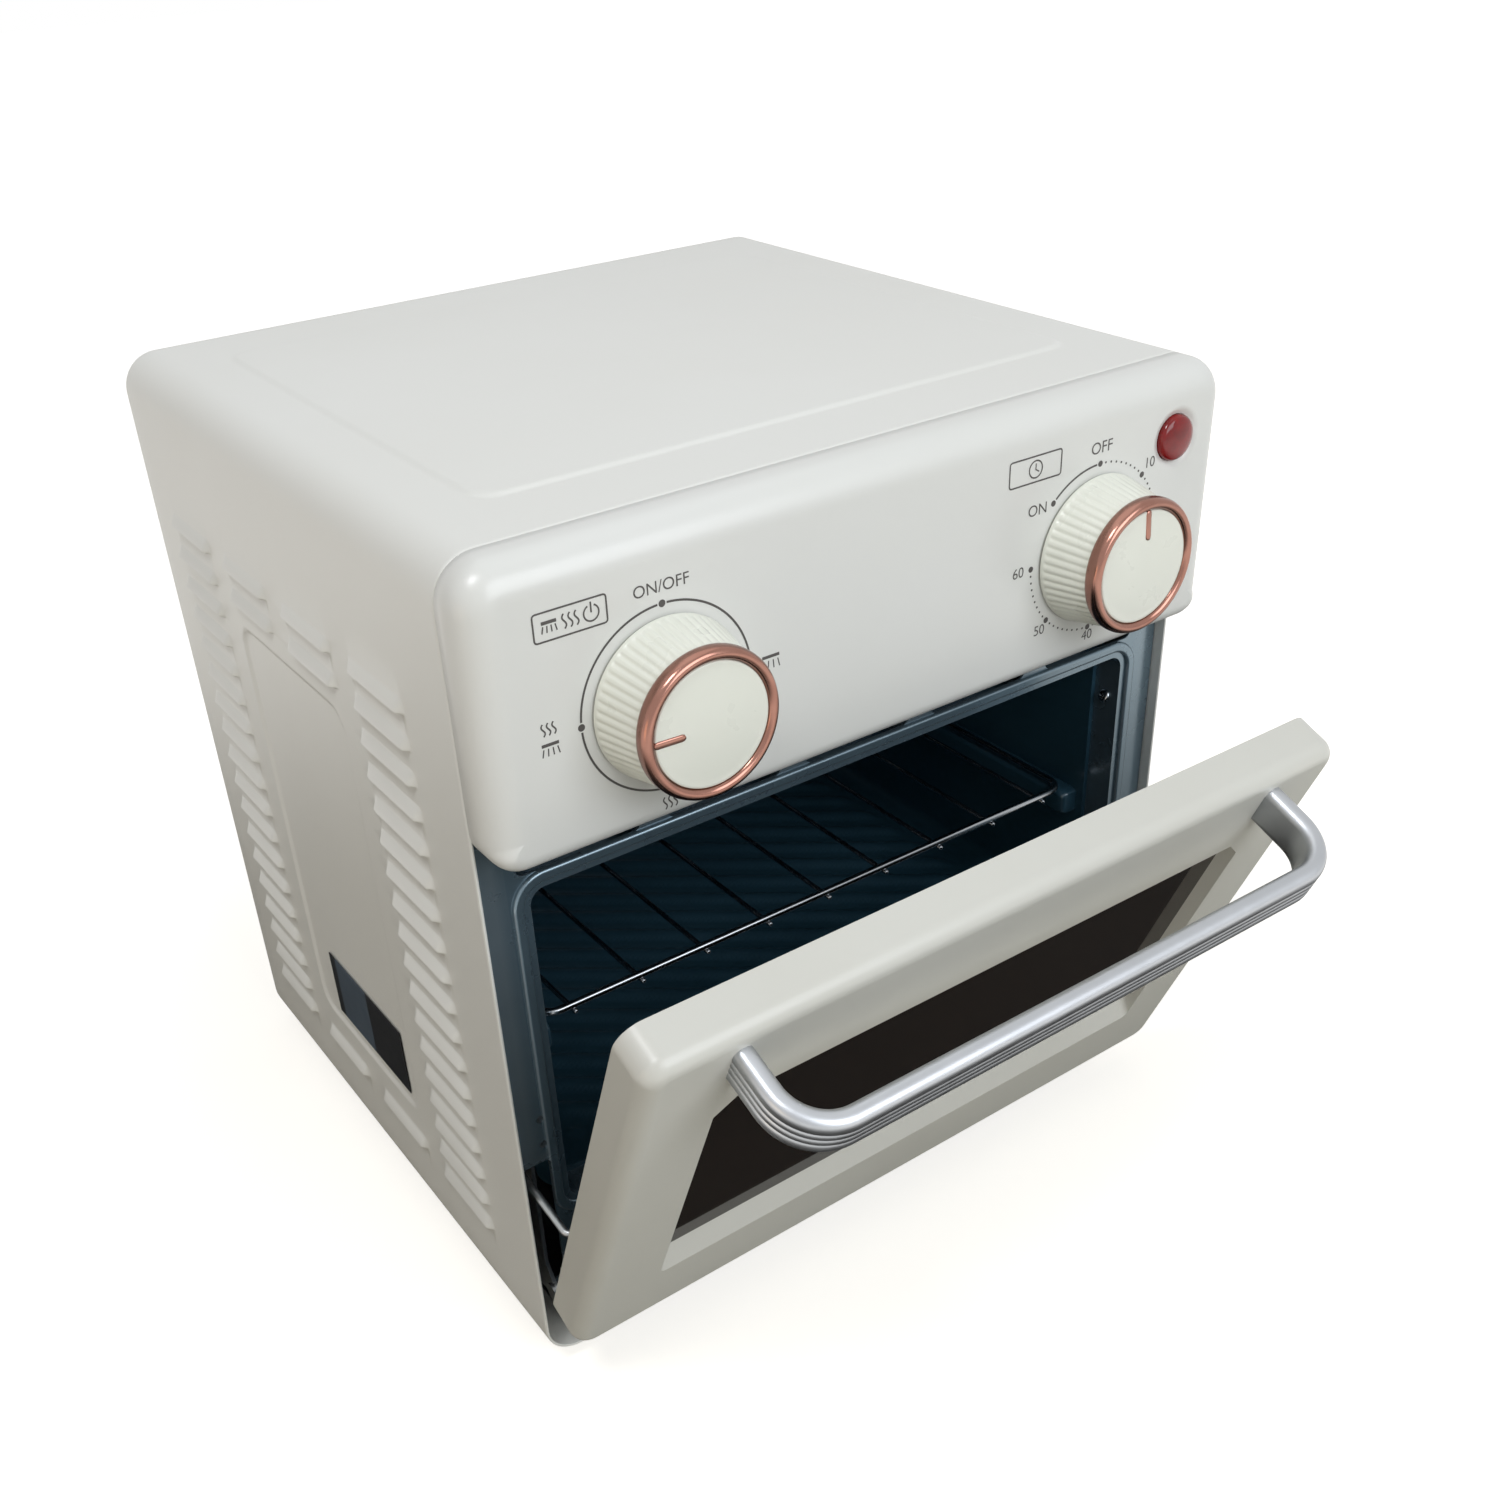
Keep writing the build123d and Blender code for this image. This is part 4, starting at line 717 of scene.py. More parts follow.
@dataclass(frozen=True)
class TwoTonePlate(Finish):
    """A blank metallised plate, printed dark with a paler field across it.

    Attributes:
        pale_rear: rear edge of the pale field, as y in metres.
        pale_front: its front edge.
    """

    pale_rear: float = 0.0
    pale_front: float = 0.0

    def tone(self, tree: NodeTree, place: NodeSocket) -> NodeSocket:
        """Dark at both ends, paler between two clean lines.

        Args:
            tree: the material's tree.
            place: where the pattern is read.

        Returns:
            The colour.
        """
        y = add_node(tree, "ShaderNodeSeparateXYZ", {"Vector": place}).outputs[1]
        before = add_node(tree, "ShaderNodeMath", {0: y, 1: self.pale_rear}, operation="LESS_THAN")
        after = add_node(tree, "ShaderNodeMath", {0: y, 1: self.pale_front},
                         operation="GREATER_THAN")
        band = add_node(tree, "ShaderNodeMath", {0: before.outputs[0], 1: after.outputs[0]},
                        operation="MULTIPLY")
        mixed = add_node(tree, "ShaderNodeMix", {
            0: band.outputs[0], 6: linear(self.colour), 7: linear(self.second)}, data_type="RGBA")
        return mixed.outputs[2]


class Scatter:
    """Sets one template on every point of a mesh, by Geometry Nodes."""

    def __init__(self) -> None:
        """Builds the tree."""
        self.growth = Growth("scatter_pieces", "Places", {
            "Piece": "NodeSocketObject", "Size": "NodeSocketFloat",
            "Finish": "NodeSocketMaterial"}, "Pieces")
        tree, given = self.growth.tree, self.growth.given
        template = add_node(tree, "GeometryNodeObjectInfo", {"Object": given["Piece"]})
        turn = add_node(tree, "GeometryNodeInputNamedAttribute", {"Name": "turn"},
                        data_type="FLOAT_VECTOR")
        euler = add_node(tree, "FunctionNodeEulerToRotation", {"Euler": turn.outputs[0]})
        set_out = add_node(tree, "GeometryNodeInstanceOnPoints", {
            "Points": given["Places"], "Instance": template.outputs["Geometry"],
            "Rotation": euler.outputs[0], "Scale": given["Size"]})
        self.growth.end(set_out.outputs[0])

    def run(self, name: str, template: Object, places: Iterable[Vector], finish: Material,
            turns: Sequence[Vector] = (), size: float = 1.0) -> Object:
        """Sets the template on each place.

        Args:
            name: the new object's name.
            template: the piece, drawn about the origin; it is removed.
            places: points in metres.
            finish: the material of every copy.
            turns: a rotation in radians for each place, if any.
            size: scale of every copy.

        Returns:
            The copies as one plain mesh object.
        """
        points = list(places)
        mesh = bpy.data.meshes.new(name + "_places")
        mesh.from_pydata(points, [], [])
        stored = mesh.attributes.new("turn", "FLOAT_VECTOR", "POINT")
        for number, turn in enumerate(turns or [Vector((0, 0, 0))] * len(points)):
            stored.data[number].vector = turn
        holder = as_object(name + "_places", mesh)
        made = as_object(name, self.growth.grow(holder, {
            "Piece": template, "Size": size, "Finish": finish}))
        made.data.name = name
        bpy.data.objects.remove(template)
        return made


# ---- finishes ---------------------------------------------------------------
class Paint:
    """Every finish of the cabinet, built once."""

    def __init__(self) -> None:
        """Builds the materials."""
        # Powder-coated steel: satin, with the faint orange peel of baked powder.
        self.shell = Finish("powder_coated_steel", "#e4e5e0", "#dfdfd8", 0.6, 130, 0.36, 0.02,
                            coat=0.12, coat_roughness=0.25, grain_mm=1.6,
                            grain_depth_mm=0.012).build()
        # Injection-moulded ABS in cream: smoother and glossier than the steel.
        self.panel = Finish("moulded_abs_cream", "#dddeda", "#d9dad3", 0.6, 110, 0.32, 0.015,
                            coat=0.18, coat_roughness=0.2, grain_mm=0.9,
                            grain_depth_mm=0.004).build()
        # The same ABS, a little duller where hands open the door; its colour is painted darker than
        # the panel's, as painted shade for the shade on the door's face.
        self.door = Finish("moulded_abs_door", "#d3d3cb", "#cbcac0", 0.6, 90, 0.34, 0.03, coat=0.15,
                           coat_roughness=0.25, grain_mm=0.9, grain_depth_mm=0.005).build()
        # Ivory ABS: a shade yellower than the panel, as a separate moulding.
        self.knob = Finish("moulded_abs_ivory", "#e5e7dc", "#dfe1d2", 0.4, 40, 0.28, 0.015,
                           coat=0.2, coat_roughness=0.15, grain_mm=0.8,
                           grain_depth_mm=0.004).build()
        # Rose copper plating on plastic: bright, with soft wipe marks.
        self.copper = Finish("rose_copper_plating", "#a0776a", "#82594d", 0.6, 12, 0.2, 0.05, 1.0,
                             grain_mm=0.6, grain_depth_mm=0.003, stretch=8, space=Space.RUN).build()
        # Red acrylic: deep and glassy, drifting to a darker red in small blotches.
        self.lens = Finish("moulded_acrylic_red", "#9c0a0d", "#5f0204", 0.8, 7, 0.07, 0.02,
                           coat=0.35, coat_roughness=0.03, grain_mm=1.2, grain_depth_mm=0.01,
                           clear=0.2, sheen_level=0.22).build()
        # Blue-grey coated steel of the front frame, with a metallic sheen and a painted highlight
        # on its raised edges.
        self.frame = Finish("blue_grey_coated_steel", "#6f8490", "#5b6f7a", 0.6, 60, 0.28, 0.05,
                            0.6, coat=0.8, coat_roughness=0.15, grain_mm=0.8, grain_depth_mm=0.01,
                            edge_highlight=0.1).build()
        # Dark blue non-stick coating of the cavity: glossy over a fine texture.
        self.liner = Finish("dark_blue_non_stick_coating", "#355768", "#284757", 0.6, 60, 0.3, 0.03,
                            0.1, coat=0.5, coat_roughness=0.14, grain_mm=0.8,
                            grain_depth_mm=0.01).build()
        # Chromed wire: mirror bright, with a drawn grain too fine to show.
        self.chrome = Finish("chrome_plated_wire", "#a7abaf", "#8f9397", 0.5, 15, 0.2, 0.04, 1.0,
                             grain_mm=0.7, grain_depth_mm=0.004).build()
        # Zinc plate: dull silver with a faint cloudy bloom.
        self.zinc = Finish("zinc_plated_steel", "#a9abab", "#8f9294", 0.7, 8, 0.38, 0.1, 1.0,
                           grain_mm=1.2, grain_depth_mm=0.01).build()
        # Tempered glass with a dark brown tint: black in the shade, with a clean gloss.
        self.glass = Finish("tinted_tempered_glass", "#17110e", "#1f1612", 0.5, 120, 0.05, 0.01,
                            grain_mm=60, grain_depth_mm=0.02, sheen_level=0.45).build()
        # Anodised aluminium, brushed along the bar.
        self.aluminium = Finish("brushed_anodised_aluminium", "#b6b9bd", "#a5a9ad", 0.5, 20, 0.38,
                                0.05, 1.0, grain_mm=0.35, grain_depth_mm=0.004, stretch=60,
                                space=Space.RUN).build()
        # Black nylon: matt, with the light marks of the mould.
        self.black = Finish("moulded_black_nylon", "#1c1c1c", "#242424", 0.5, 10, 0.5,
                            grain_mm=0.6).build()
        # Rubber: matt and dusty dark grey.
        self.rubber = Finish("moulded_dark_rubber", "#2b2b2b", "#333332", 0.6, 8, 0.7, grain_mm=0.5,
                             grain_depth_mm=0.02).build()
        # Silicone: pale grey with a soft, low gloss.
        self.seal = Finish("grey_silicone_seal", "#ced2d0", "#c0c4c2", 0.5, 8, 0.5,
                           grain_mm=0.5).build()
        # Steatite: off-white and chalky.
        self.ceramic = Finish("unglazed_steatite_ceramic", "#dcd8cc", "#cfcabb", 0.7, 5, 0.6,
                              grain_mm=0.4, grain_depth_mm=0.02).build()
        # Quartz: clear and bright, with the lamp's pale coating inside.
        self.quartz = Finish("quartz_glass_tube", "#e8eef2", "#dfe7ee", 0.3, 20, 0.04, 0.02,
                             clear=0.6, grain_mm=20).build()
        # Rolled aluminium: bright, with rolling lines.
        self.reflector = Finish("bright_rolled_aluminium", "#dfe0e0", "#cfd1d1", 0.4, 20, 0.16,
                                0.05, 1.0, grain_mm=0.4, grain_depth_mm=0.003, stretch=40).build()
        # Lamination steel under varnish: dark, with a sheen on its edges.
        self.motor = Finish("varnished_lamination_steel", "#45474b", "#37393c", 0.6, 6, 0.45, 0.1,
                            0.8, grain_mm=0.5, grain_depth_mm=0.03).build()
        # Printed foil: dark ink, with a paler field across it.
        self.plate = TwoTonePlate("printed_foil_plate", "#1b1d20", "#46525e", 0.2, 30, 0.34, 0.03,
                                  pale_rear=0.029, pale_front=-0.003, sheen_level=0.3).build()
        # Screen ink: flat and matt, a warm dark grey.
        self.ink = Finish("screen_printed_ink", "#4a4744", "#555250", 0.6, 3, 0.55, grain_mm=0.3,
                          grain_depth_mm=0.003).build()
        # Painted shade: a dark finish that stands in for the unlit inside seen through a louvre's
        # slit.
        self.shadow = Finish("painted_slit_shade", "#3a3834", "#2d2b28", 0.5, 4, 0.8).build()

    def of_nodes(self) -> dict[str, Material]:
        """Lists the finish of each CAD node.

        Returns:
            The finish by the node's name.
        """
        table = {
            self.zinc: (
                "base_pan rear_cover_screws panel_screws control_bracket bracket_screws bush_nuts "
                "hinge_bracket_left hinge_bracket_right hinge_screws hinge_pins fan_housing "
                "door_screws handle_screws stay_left stay_right function_shaft timer_shaft"),
            self.shell: "outer_shell rear_cover",
            self.panel: "control_panel",
            self.door: "door_frame",
            self.rubber: "feet",
            self.black: (
                "cord_gland function_switch timer_body pilot_lamp reed_switch thermal_cutout"),
            self.frame: "front_frame door_inner_frame",
            self.liner: "cavity_liner cavity_back rack_rail_left rack_rail_right",
            self.chrome: "liner_screws wire_rack",
            self.lens: "pilot_lens",
            self.plate: "side_plate",
            self.ceramic: "guide_rollers uv_holders heater terminal_block",
            self.quartz: "uv_lamp",
            self.reflector: "uv_reflector fan_rotor",
            self.motor: "lamp_ballast fan_motor door_magnet",
            self.glass: "door_glass",
            self.seal: "glass_gasket",
            self.aluminium: "handle",
            self.knob: "function_knob function_knob_cap timer_knob timer_knob_cap",
            self.copper: (
                "function_knob_ring function_knob_pointer timer_knob_ring timer_knob_pointer"),
        }
        return {name: finish for finish, names in table.items() for name in names.split()}


# ---- shell ------------------------------------------------------------------
@dataclass
class OuterShell:
    """The pressed steel wrap with its louvres and soft fields.

    Sizes are in millimetres. Steps are distances from an edge at which the wrap
    gets a row of points; front_fold is the front edge as (y, inset), from inside.
    """

    paint: Paint
    width: float = 320.0
    depth: float = 284.0
    height: float = 336.0
    radius: float = 15.0
    sheet: float = 1.0
    flange: float = 40.0
    flange_clip: float = 20.0
    lip: float = 11.0
    rear_bend: float = 3.0
    front_fold: tuple[Pair, ...] = ((7.0, 1.0), (0.25, 1.0), (0.0, 0.7), (0.0, 0.3), (0.3, 0.0))
    louvre_rows: int = 18
    louvre_low: float = 45.0
    louvre_high: float = 275.35
    louvre_columns: tuple[float, ...] = (36.0, 95.0, 154.0, 213.0)
    louvre_length: float = 43.5
    louvre_height: float = 5.4
    louvre_out: float = 2.4
    louvre_peak: float = 0.86
    louvre_swell: float = 0.06
    end_blend: float = 3.6
    slit_ends: float = 2.5
    slit_reach: float = 1.0
    field_y: Pair = (98.0, 196.0)
    field_z: Pair = (60.0, 248.0)
    field_depth: float = 1.0
    field_round: float = 10.0
    field_blend: float = 3.2
    top_field_x: float = 126.0
    top_field_y: Pair = (33.0, 250.0)
    top_raise: float = 0.9
    field_steps: tuple[float, ...] = (0.4, 1.2, 2.0, 3.2, 5.0, 7.5, 10.5)
    louvre_steps: tuple[float, ...] = (-0.9, 0.02, 0.3, 0.7, 1.1, 2.1, 3.2, 4.3, 5.0, 5.7)
    end_steps: tuple[float, ...] = (0.0, 0.9, 1.8, 2.8, 4.5)
    plain_heights: tuple[float, ...] = (22.0, 30.0, 290.0, 305.0)
    plain_depths: tuple[float, ...] = (2.0, 4.0, 6.0, 9.0, 12.0, 16.0, 270.0)
    margin: float = 0.5
    least_step: float = 0.35

    def rows_up(self) -> list[float]:
        """Heights of the louvre rows."""
        return spread(self.louvre_low, self.louvre_high, self.louvre_rows - 1)

    def louvres(self) -> list[tuple[float, float, float]]:
        """Lists the louvres of one side.

        Returns:
            Front end, rear end and middle height of each.
        """
        rows = self.rows_up()
        found = []
        for number, y in enumerate(self.louvre_columns):
            outer = number in (0, len(self.louvre_columns) - 1)
            heights = rows if outer else [rows[0], *rows[-2:]]
            found += [(y, y + self.louvre_length, z) for z in heights]
        return found

    def pressed(self, u: float, v: float, span_u: Pair, span_v: Pair) -> float:
        """How far a point lies inside a pressed field, with a soft edge.

        Args:
            u: the point's first place.
            v: its second place.
            span_u: the field's ends along the first.
            span_v: the field's ends along the second.

        Returns:
            Nought outside the field, one inside.
        """
        half_u, half_v = (span_u[1] - span_u[0]) / 2, (span_v[1] - span_v[0]) / 2
        du = abs(u - (span_u[0] + span_u[1]) / 2) - half_u + self.field_round
        dv = abs(v - (span_v[0] + span_v[1]) / 2) - half_v + self.field_round
        away = math.hypot(max(du, 0), max(dv, 0)) + min(max(du, dv), 0) - self.field_round
        return ease(0.5 - away / self.field_blend)

    def side_press(self, y: float, z: float) -> float:
        """How far the side stands out at a point.

        Args:
            y: the point's depth.
            z: its height.

        Returns:
            The distance in millimetres, less than nought in the field.
        """
        out = -self.field_depth * self.pressed(y, z, self.field_y, self.field_z)
        for y0, y1, middle in self.louvres():
            low = middle - self.louvre_height / 2
            if not (y0 < y < y1 and low < z < low + self.louvre_height):
                continue
            hood = min((1 - (z - low) / self.louvre_height) / self.louvre_peak, 1.0)
            hood = hood + self.louvre_swell * math.sin(math.pi * hood)
            ends = ease((y - y0) / self.end_blend) * ease((y1 - y) / self.end_blend)
            out += self.louvre_out * hood * ends
        return out

    def outline(self) -> list[tuple[float, float, float, float, bool]]:
        """Draws the wrap's section, from one flange over the top to the other.

        Returns:
            For each point x, z, the normal's x and z, and whether it is on a side.
        """
        half, r, top = self.width / 2, self.radius, self.height
        points: list[tuple[float, float, float, float, bool]] = []
        under = spread(half - self.flange, half - r, 2)[:-1]
        points += [(-x, 0.0, 0.0, -1.0, False) for x in under]
        left_low = arc(-half + r, r, r, 270, 180, 9)
        points += [(x, z, (x + half - r) / r, (z - r) / r, False) for x, z in left_low]
        heights = {z for edge in self.field_z for z in near(edge, *self.field_steps)}
        for z in self.rows_up():
            heights |= {z - self.louvre_height / 2 + step for step in self.louvre_steps}
        heights |= set(self.plain_heights)
        low, high = r + self.margin, top - r - self.margin
        points += [(-half, z, -1.0, 0.0, True) for z in sorted(heights) if low < z < high]
        left_high = arc(-half + r, top - r, r, 180, 90, 10)
        points += [(x, z, (x + half - r) / r, (z - top + r) / r, False) for x, z in left_high]
        across = {*near(-self.top_field_x, *self.field_steps), *spread(-self.top_field_x, 0, 8)[1:]}
        points += [(x, top, 0.0, 1.0, False) for x in sorted(across)
                   if -half + r + self.margin < x < -0.01]
        mirrored = [(-x, z, -nx, nz, side) for x, z, nx, nz, side in reversed(points)]
        return [*points, (0.0, top, 0.0, 1.0, False), *mirrored]

    def depths(self) -> list[Pair]:
        """Rows from front to rear, closed through the inside.

        Returns:
            Depth and inset of each row.
        """
        edges = (*self.field_y, *self.top_field_y)
        rows = {y for edge in edges for y in near(edge, *self.field_steps)}
        for y in self.louvre_columns:
            rear = y + self.louvre_length
            rows |= {place for step in self.end_steps for place in (y + step, rear - step)}
        rows |= {*self.plain_depths, self.flange_clip}
        bend, sheet, depth = self.rear_bend, self.sheet, self.depth
        kept = [y for y in sorted(rows) if sheet < y < depth - bend - sheet]
        thinned = [kept[0]]
        for y in kept[1:]:
            if y - thinned[-1] > self.least_step:
                thinned.append(y)
        turn_in = [(depth - bend + bend * math.sin(t), bend - bend * math.cos(t))
                   for t in spread(0, math.pi / 2, 5)]
        rear = [(depth, self.lip), (depth - sheet, self.lip), (depth - sheet, sheet + 0.2)]
        return [*self.front_fold, *((y, 0.0) for y in thinned), *turn_in, *rear]

    def build(self) -> None:
        """Makes the wrap in place of the plain one."""
        section = self.outline()
        straight = self.width / 2 - self.radius
        top_field_x = (-self.top_field_x, self.top_field_x)
        rows: Rows = []
        for y, inset in self.depths():
            row = []
            # The flange starts narrow, with a rounded corner, behind the door.
            left = 1 - min(max(y, 0.3) / self.flange_clip, 1.0)
            reach = math.sqrt(1 - left**2)
            for x, z, nx, nz, side in section:
                out = -inset
                if nz == -1.0:
                    x = math.copysign(straight - (straight - abs(x)) * reach, x)
                if not inset and side:
                    out += self.side_press(y, z)
                if not inset and nz == 1.0:
                    out += self.top_raise * self.pressed(x, y, top_field_x, self.top_field_y)
                row.append(spot(x + nx * out, y, z + nz * out))
            rows.append(row)
        shell = skin("shell_wrap", rows, wrap_rows=True, caps=True, sharp=50)
        shell.data.materials.append(self.paint.shell)
        shell.data.materials.append(self.paint.shadow)
        self.darken_slits(shell)
        dress(shell, "cabinet", "outer_shell")

    def darken_slits(self, shell: Object) -> None:
        """Paints shade on the open underside of each louvre, standing in for the unlit inside.

        Args:
            shell: the wrap, with the painted shade finish in its second slot.
        """
        spans = self.louvres()
        outside = (self.width / 2 + 0.2) * MM
        for polygon in shell.data.polygons:
            if polygon.normal.z > -0.6 or abs(polygon.center.x) < outside:
                continue
            y = polygon.center.y / MM - FRONT_EDGE
            z = polygon.center.z / MM - UNDERSIDE
            for y0, y1, middle in spans:
                low = abs(z - middle + self.louvre_height / 2) < self.slit_reach
                if low and y0 + self.slit_ends < y < y1 - self.slit_ends:
                    # painted shade under the louvre's lip
                    polygon.material_index = 1
                    break


# ---- control panel ----------------------------------------------------------
# Sizes of the printed ink, in millimetres.
INK_LIFT = 0.06
DIAL_LINE = 0.75
FRAME_LINE = 0.6
SIGN_LINE = 0.55
HAND_LINE = 0.5
TUBE_LINE = 1.1
RAY_LINE = 0.45
# The type's size over the height of its capitals.
SIZE_OF_CAPITAL = 1.4


@dataclass
class Print:
    """Ink on the control panel, drawn as flat shapes facing forwards."""

    paint: Paint
    name: str
    y: float
    points: list[Pair] = field(default_factory=list)
    faces: list[tuple[int, ...]] = field(default_factory=list)

    def polygon(self, outline: Sequence[Pair]) -> None:
        """Adds one filled convex shape.

        Args:
            outline: its corners, in millimetres.
        """
        start = len(self.points)
        self.points += outline
        self.faces.append(tuple(range(start, start + len(outline))))

    def dot(self, centre: Pair, radius: float) -> None:
        """Adds a round dot."""
        self.polygon(circle(*centre, radius, 16))

    def line(self, path: Sequence[Pair], width: float, closed: bool = False) -> None:
        """Adds a line of even width, as one ribbon.

        Args:
            path: the points that it runs through, in millimetres.
            width: its width.
            closed: whether it ends where it starts.
        """
        count = len(path)
        start = len(self.points)
        for i, (x, z) in enumerate(path):
            before = path[i - 1] if closed or i else path[0]
            after = path[(i + 1) % count] if closed or i + 1 < count else path[-1]
            dx, dz = after[0] - before[0], after[1] - before[1]
            size = math.hypot(dx, dz) or 1.0
            px, pz = -dz / size * width / 2, dx / size * width / 2
            self.points += [(x + px, z + pz), (x - px, z - pz)]
        for i in range(count if closed else count - 1):
            a, b = start + 2 * i, start + 2 * ((i + 1) % count)
            self.faces.append((a, a + 1, b + 1, b))

    def box(self, centre: Pair, width: float, height: float) -> None:
        """Adds the thin frame round a sign.

        Args:
            centre: its middle.
            width: its width, in millimetres.
            height: its height.
        """
        frame = rounded_box(width, height, (1.0,) * 4, 3)
        self.line([(x + centre[0], z + centre[1]) for x, z in frame], FRAME_LINE, closed=True)

    def text(self, words: str, centre: Pair, height: float) -> None:
        """Adds plain letters or numerals, centred on a point.

        Args:
            words: what they say.
            centre: the middle of the words.
            height: height of a capital, in millimetres.
        """
        curve = bpy.data.curves.new(words, "FONT")
        curve.body = words
        curve.align_x = "CENTER"
        curve.align_y = "CENTER"
        curve.size = height * SIZE_OF_CAPITAL
        holder = as_object(words, curve)
        mesh = baked(holder)
        start = len(self.points)
        self.points += [(centre[0] + v.co.x, centre[1] + v.co.y) for v in mesh.vertices]
        self.faces += [tuple(start + i for i in p.vertices) for p in mesh.polygons]
        bpy.data.objects.remove(holder)
        bpy.data.meshes.remove(mesh)

    def waves(self, x: float, z: float, size: float) -> None:
        """Adds three rising wavy lines, the plain sign for warm air.

        Args:
            x: the sign's middle.
            z: its middle height.
            size: its scale.
        """
        for shift in (-2.2, 0.0, 2.2):
            path = [(x + (shift + 0.7 * math.sin(t * 6.2)) * size, z + (t * 5.0 - 2.5) * size)
                    for t in spread(0, 1, 10)]
            self.line(path, SIGN_LINE)

    def rays(self, x: float, z: float, size: float) -> None:
        """Adds a tube with rays under it, the plain sign for a lamp.

        Args:
            x: the sign's middle.
            z: its middle height.
            size: its scale.
        """
        self.line([(x - 3.0 * size, z + 1.6 * size), (x + 3.0 * size, z + 1.6 * size)], TUBE_LINE)
        for shift in (-2.4, -0.8, 0.8, 2.4):
            top, low = (x + shift * size, z + 0.4 * size), (x + shift * 1.25 * size, z - 2.2 * size)
            self.line([top, low], RAY_LINE)

    def build(self) -> None:
        """Makes the ink layer as one mesh on the panel's face."""
        mesh = bpy.data.meshes.new(self.name)
        mesh.from_pydata([spot(x, self.y - INK_LIFT, z) for x, z in self.points], [], self.faces)
        work = bmesh.new()
        work.from_mesh(mesh)
        for face in work.faces:
            face.normal_update()
            if face.normal.y > 0:
                face.normal_flip()
        work.to_mesh(mesh)
        work.free()
        dress(as_object(self.name, mesh), "cabinet", finish=self.paint.ink)


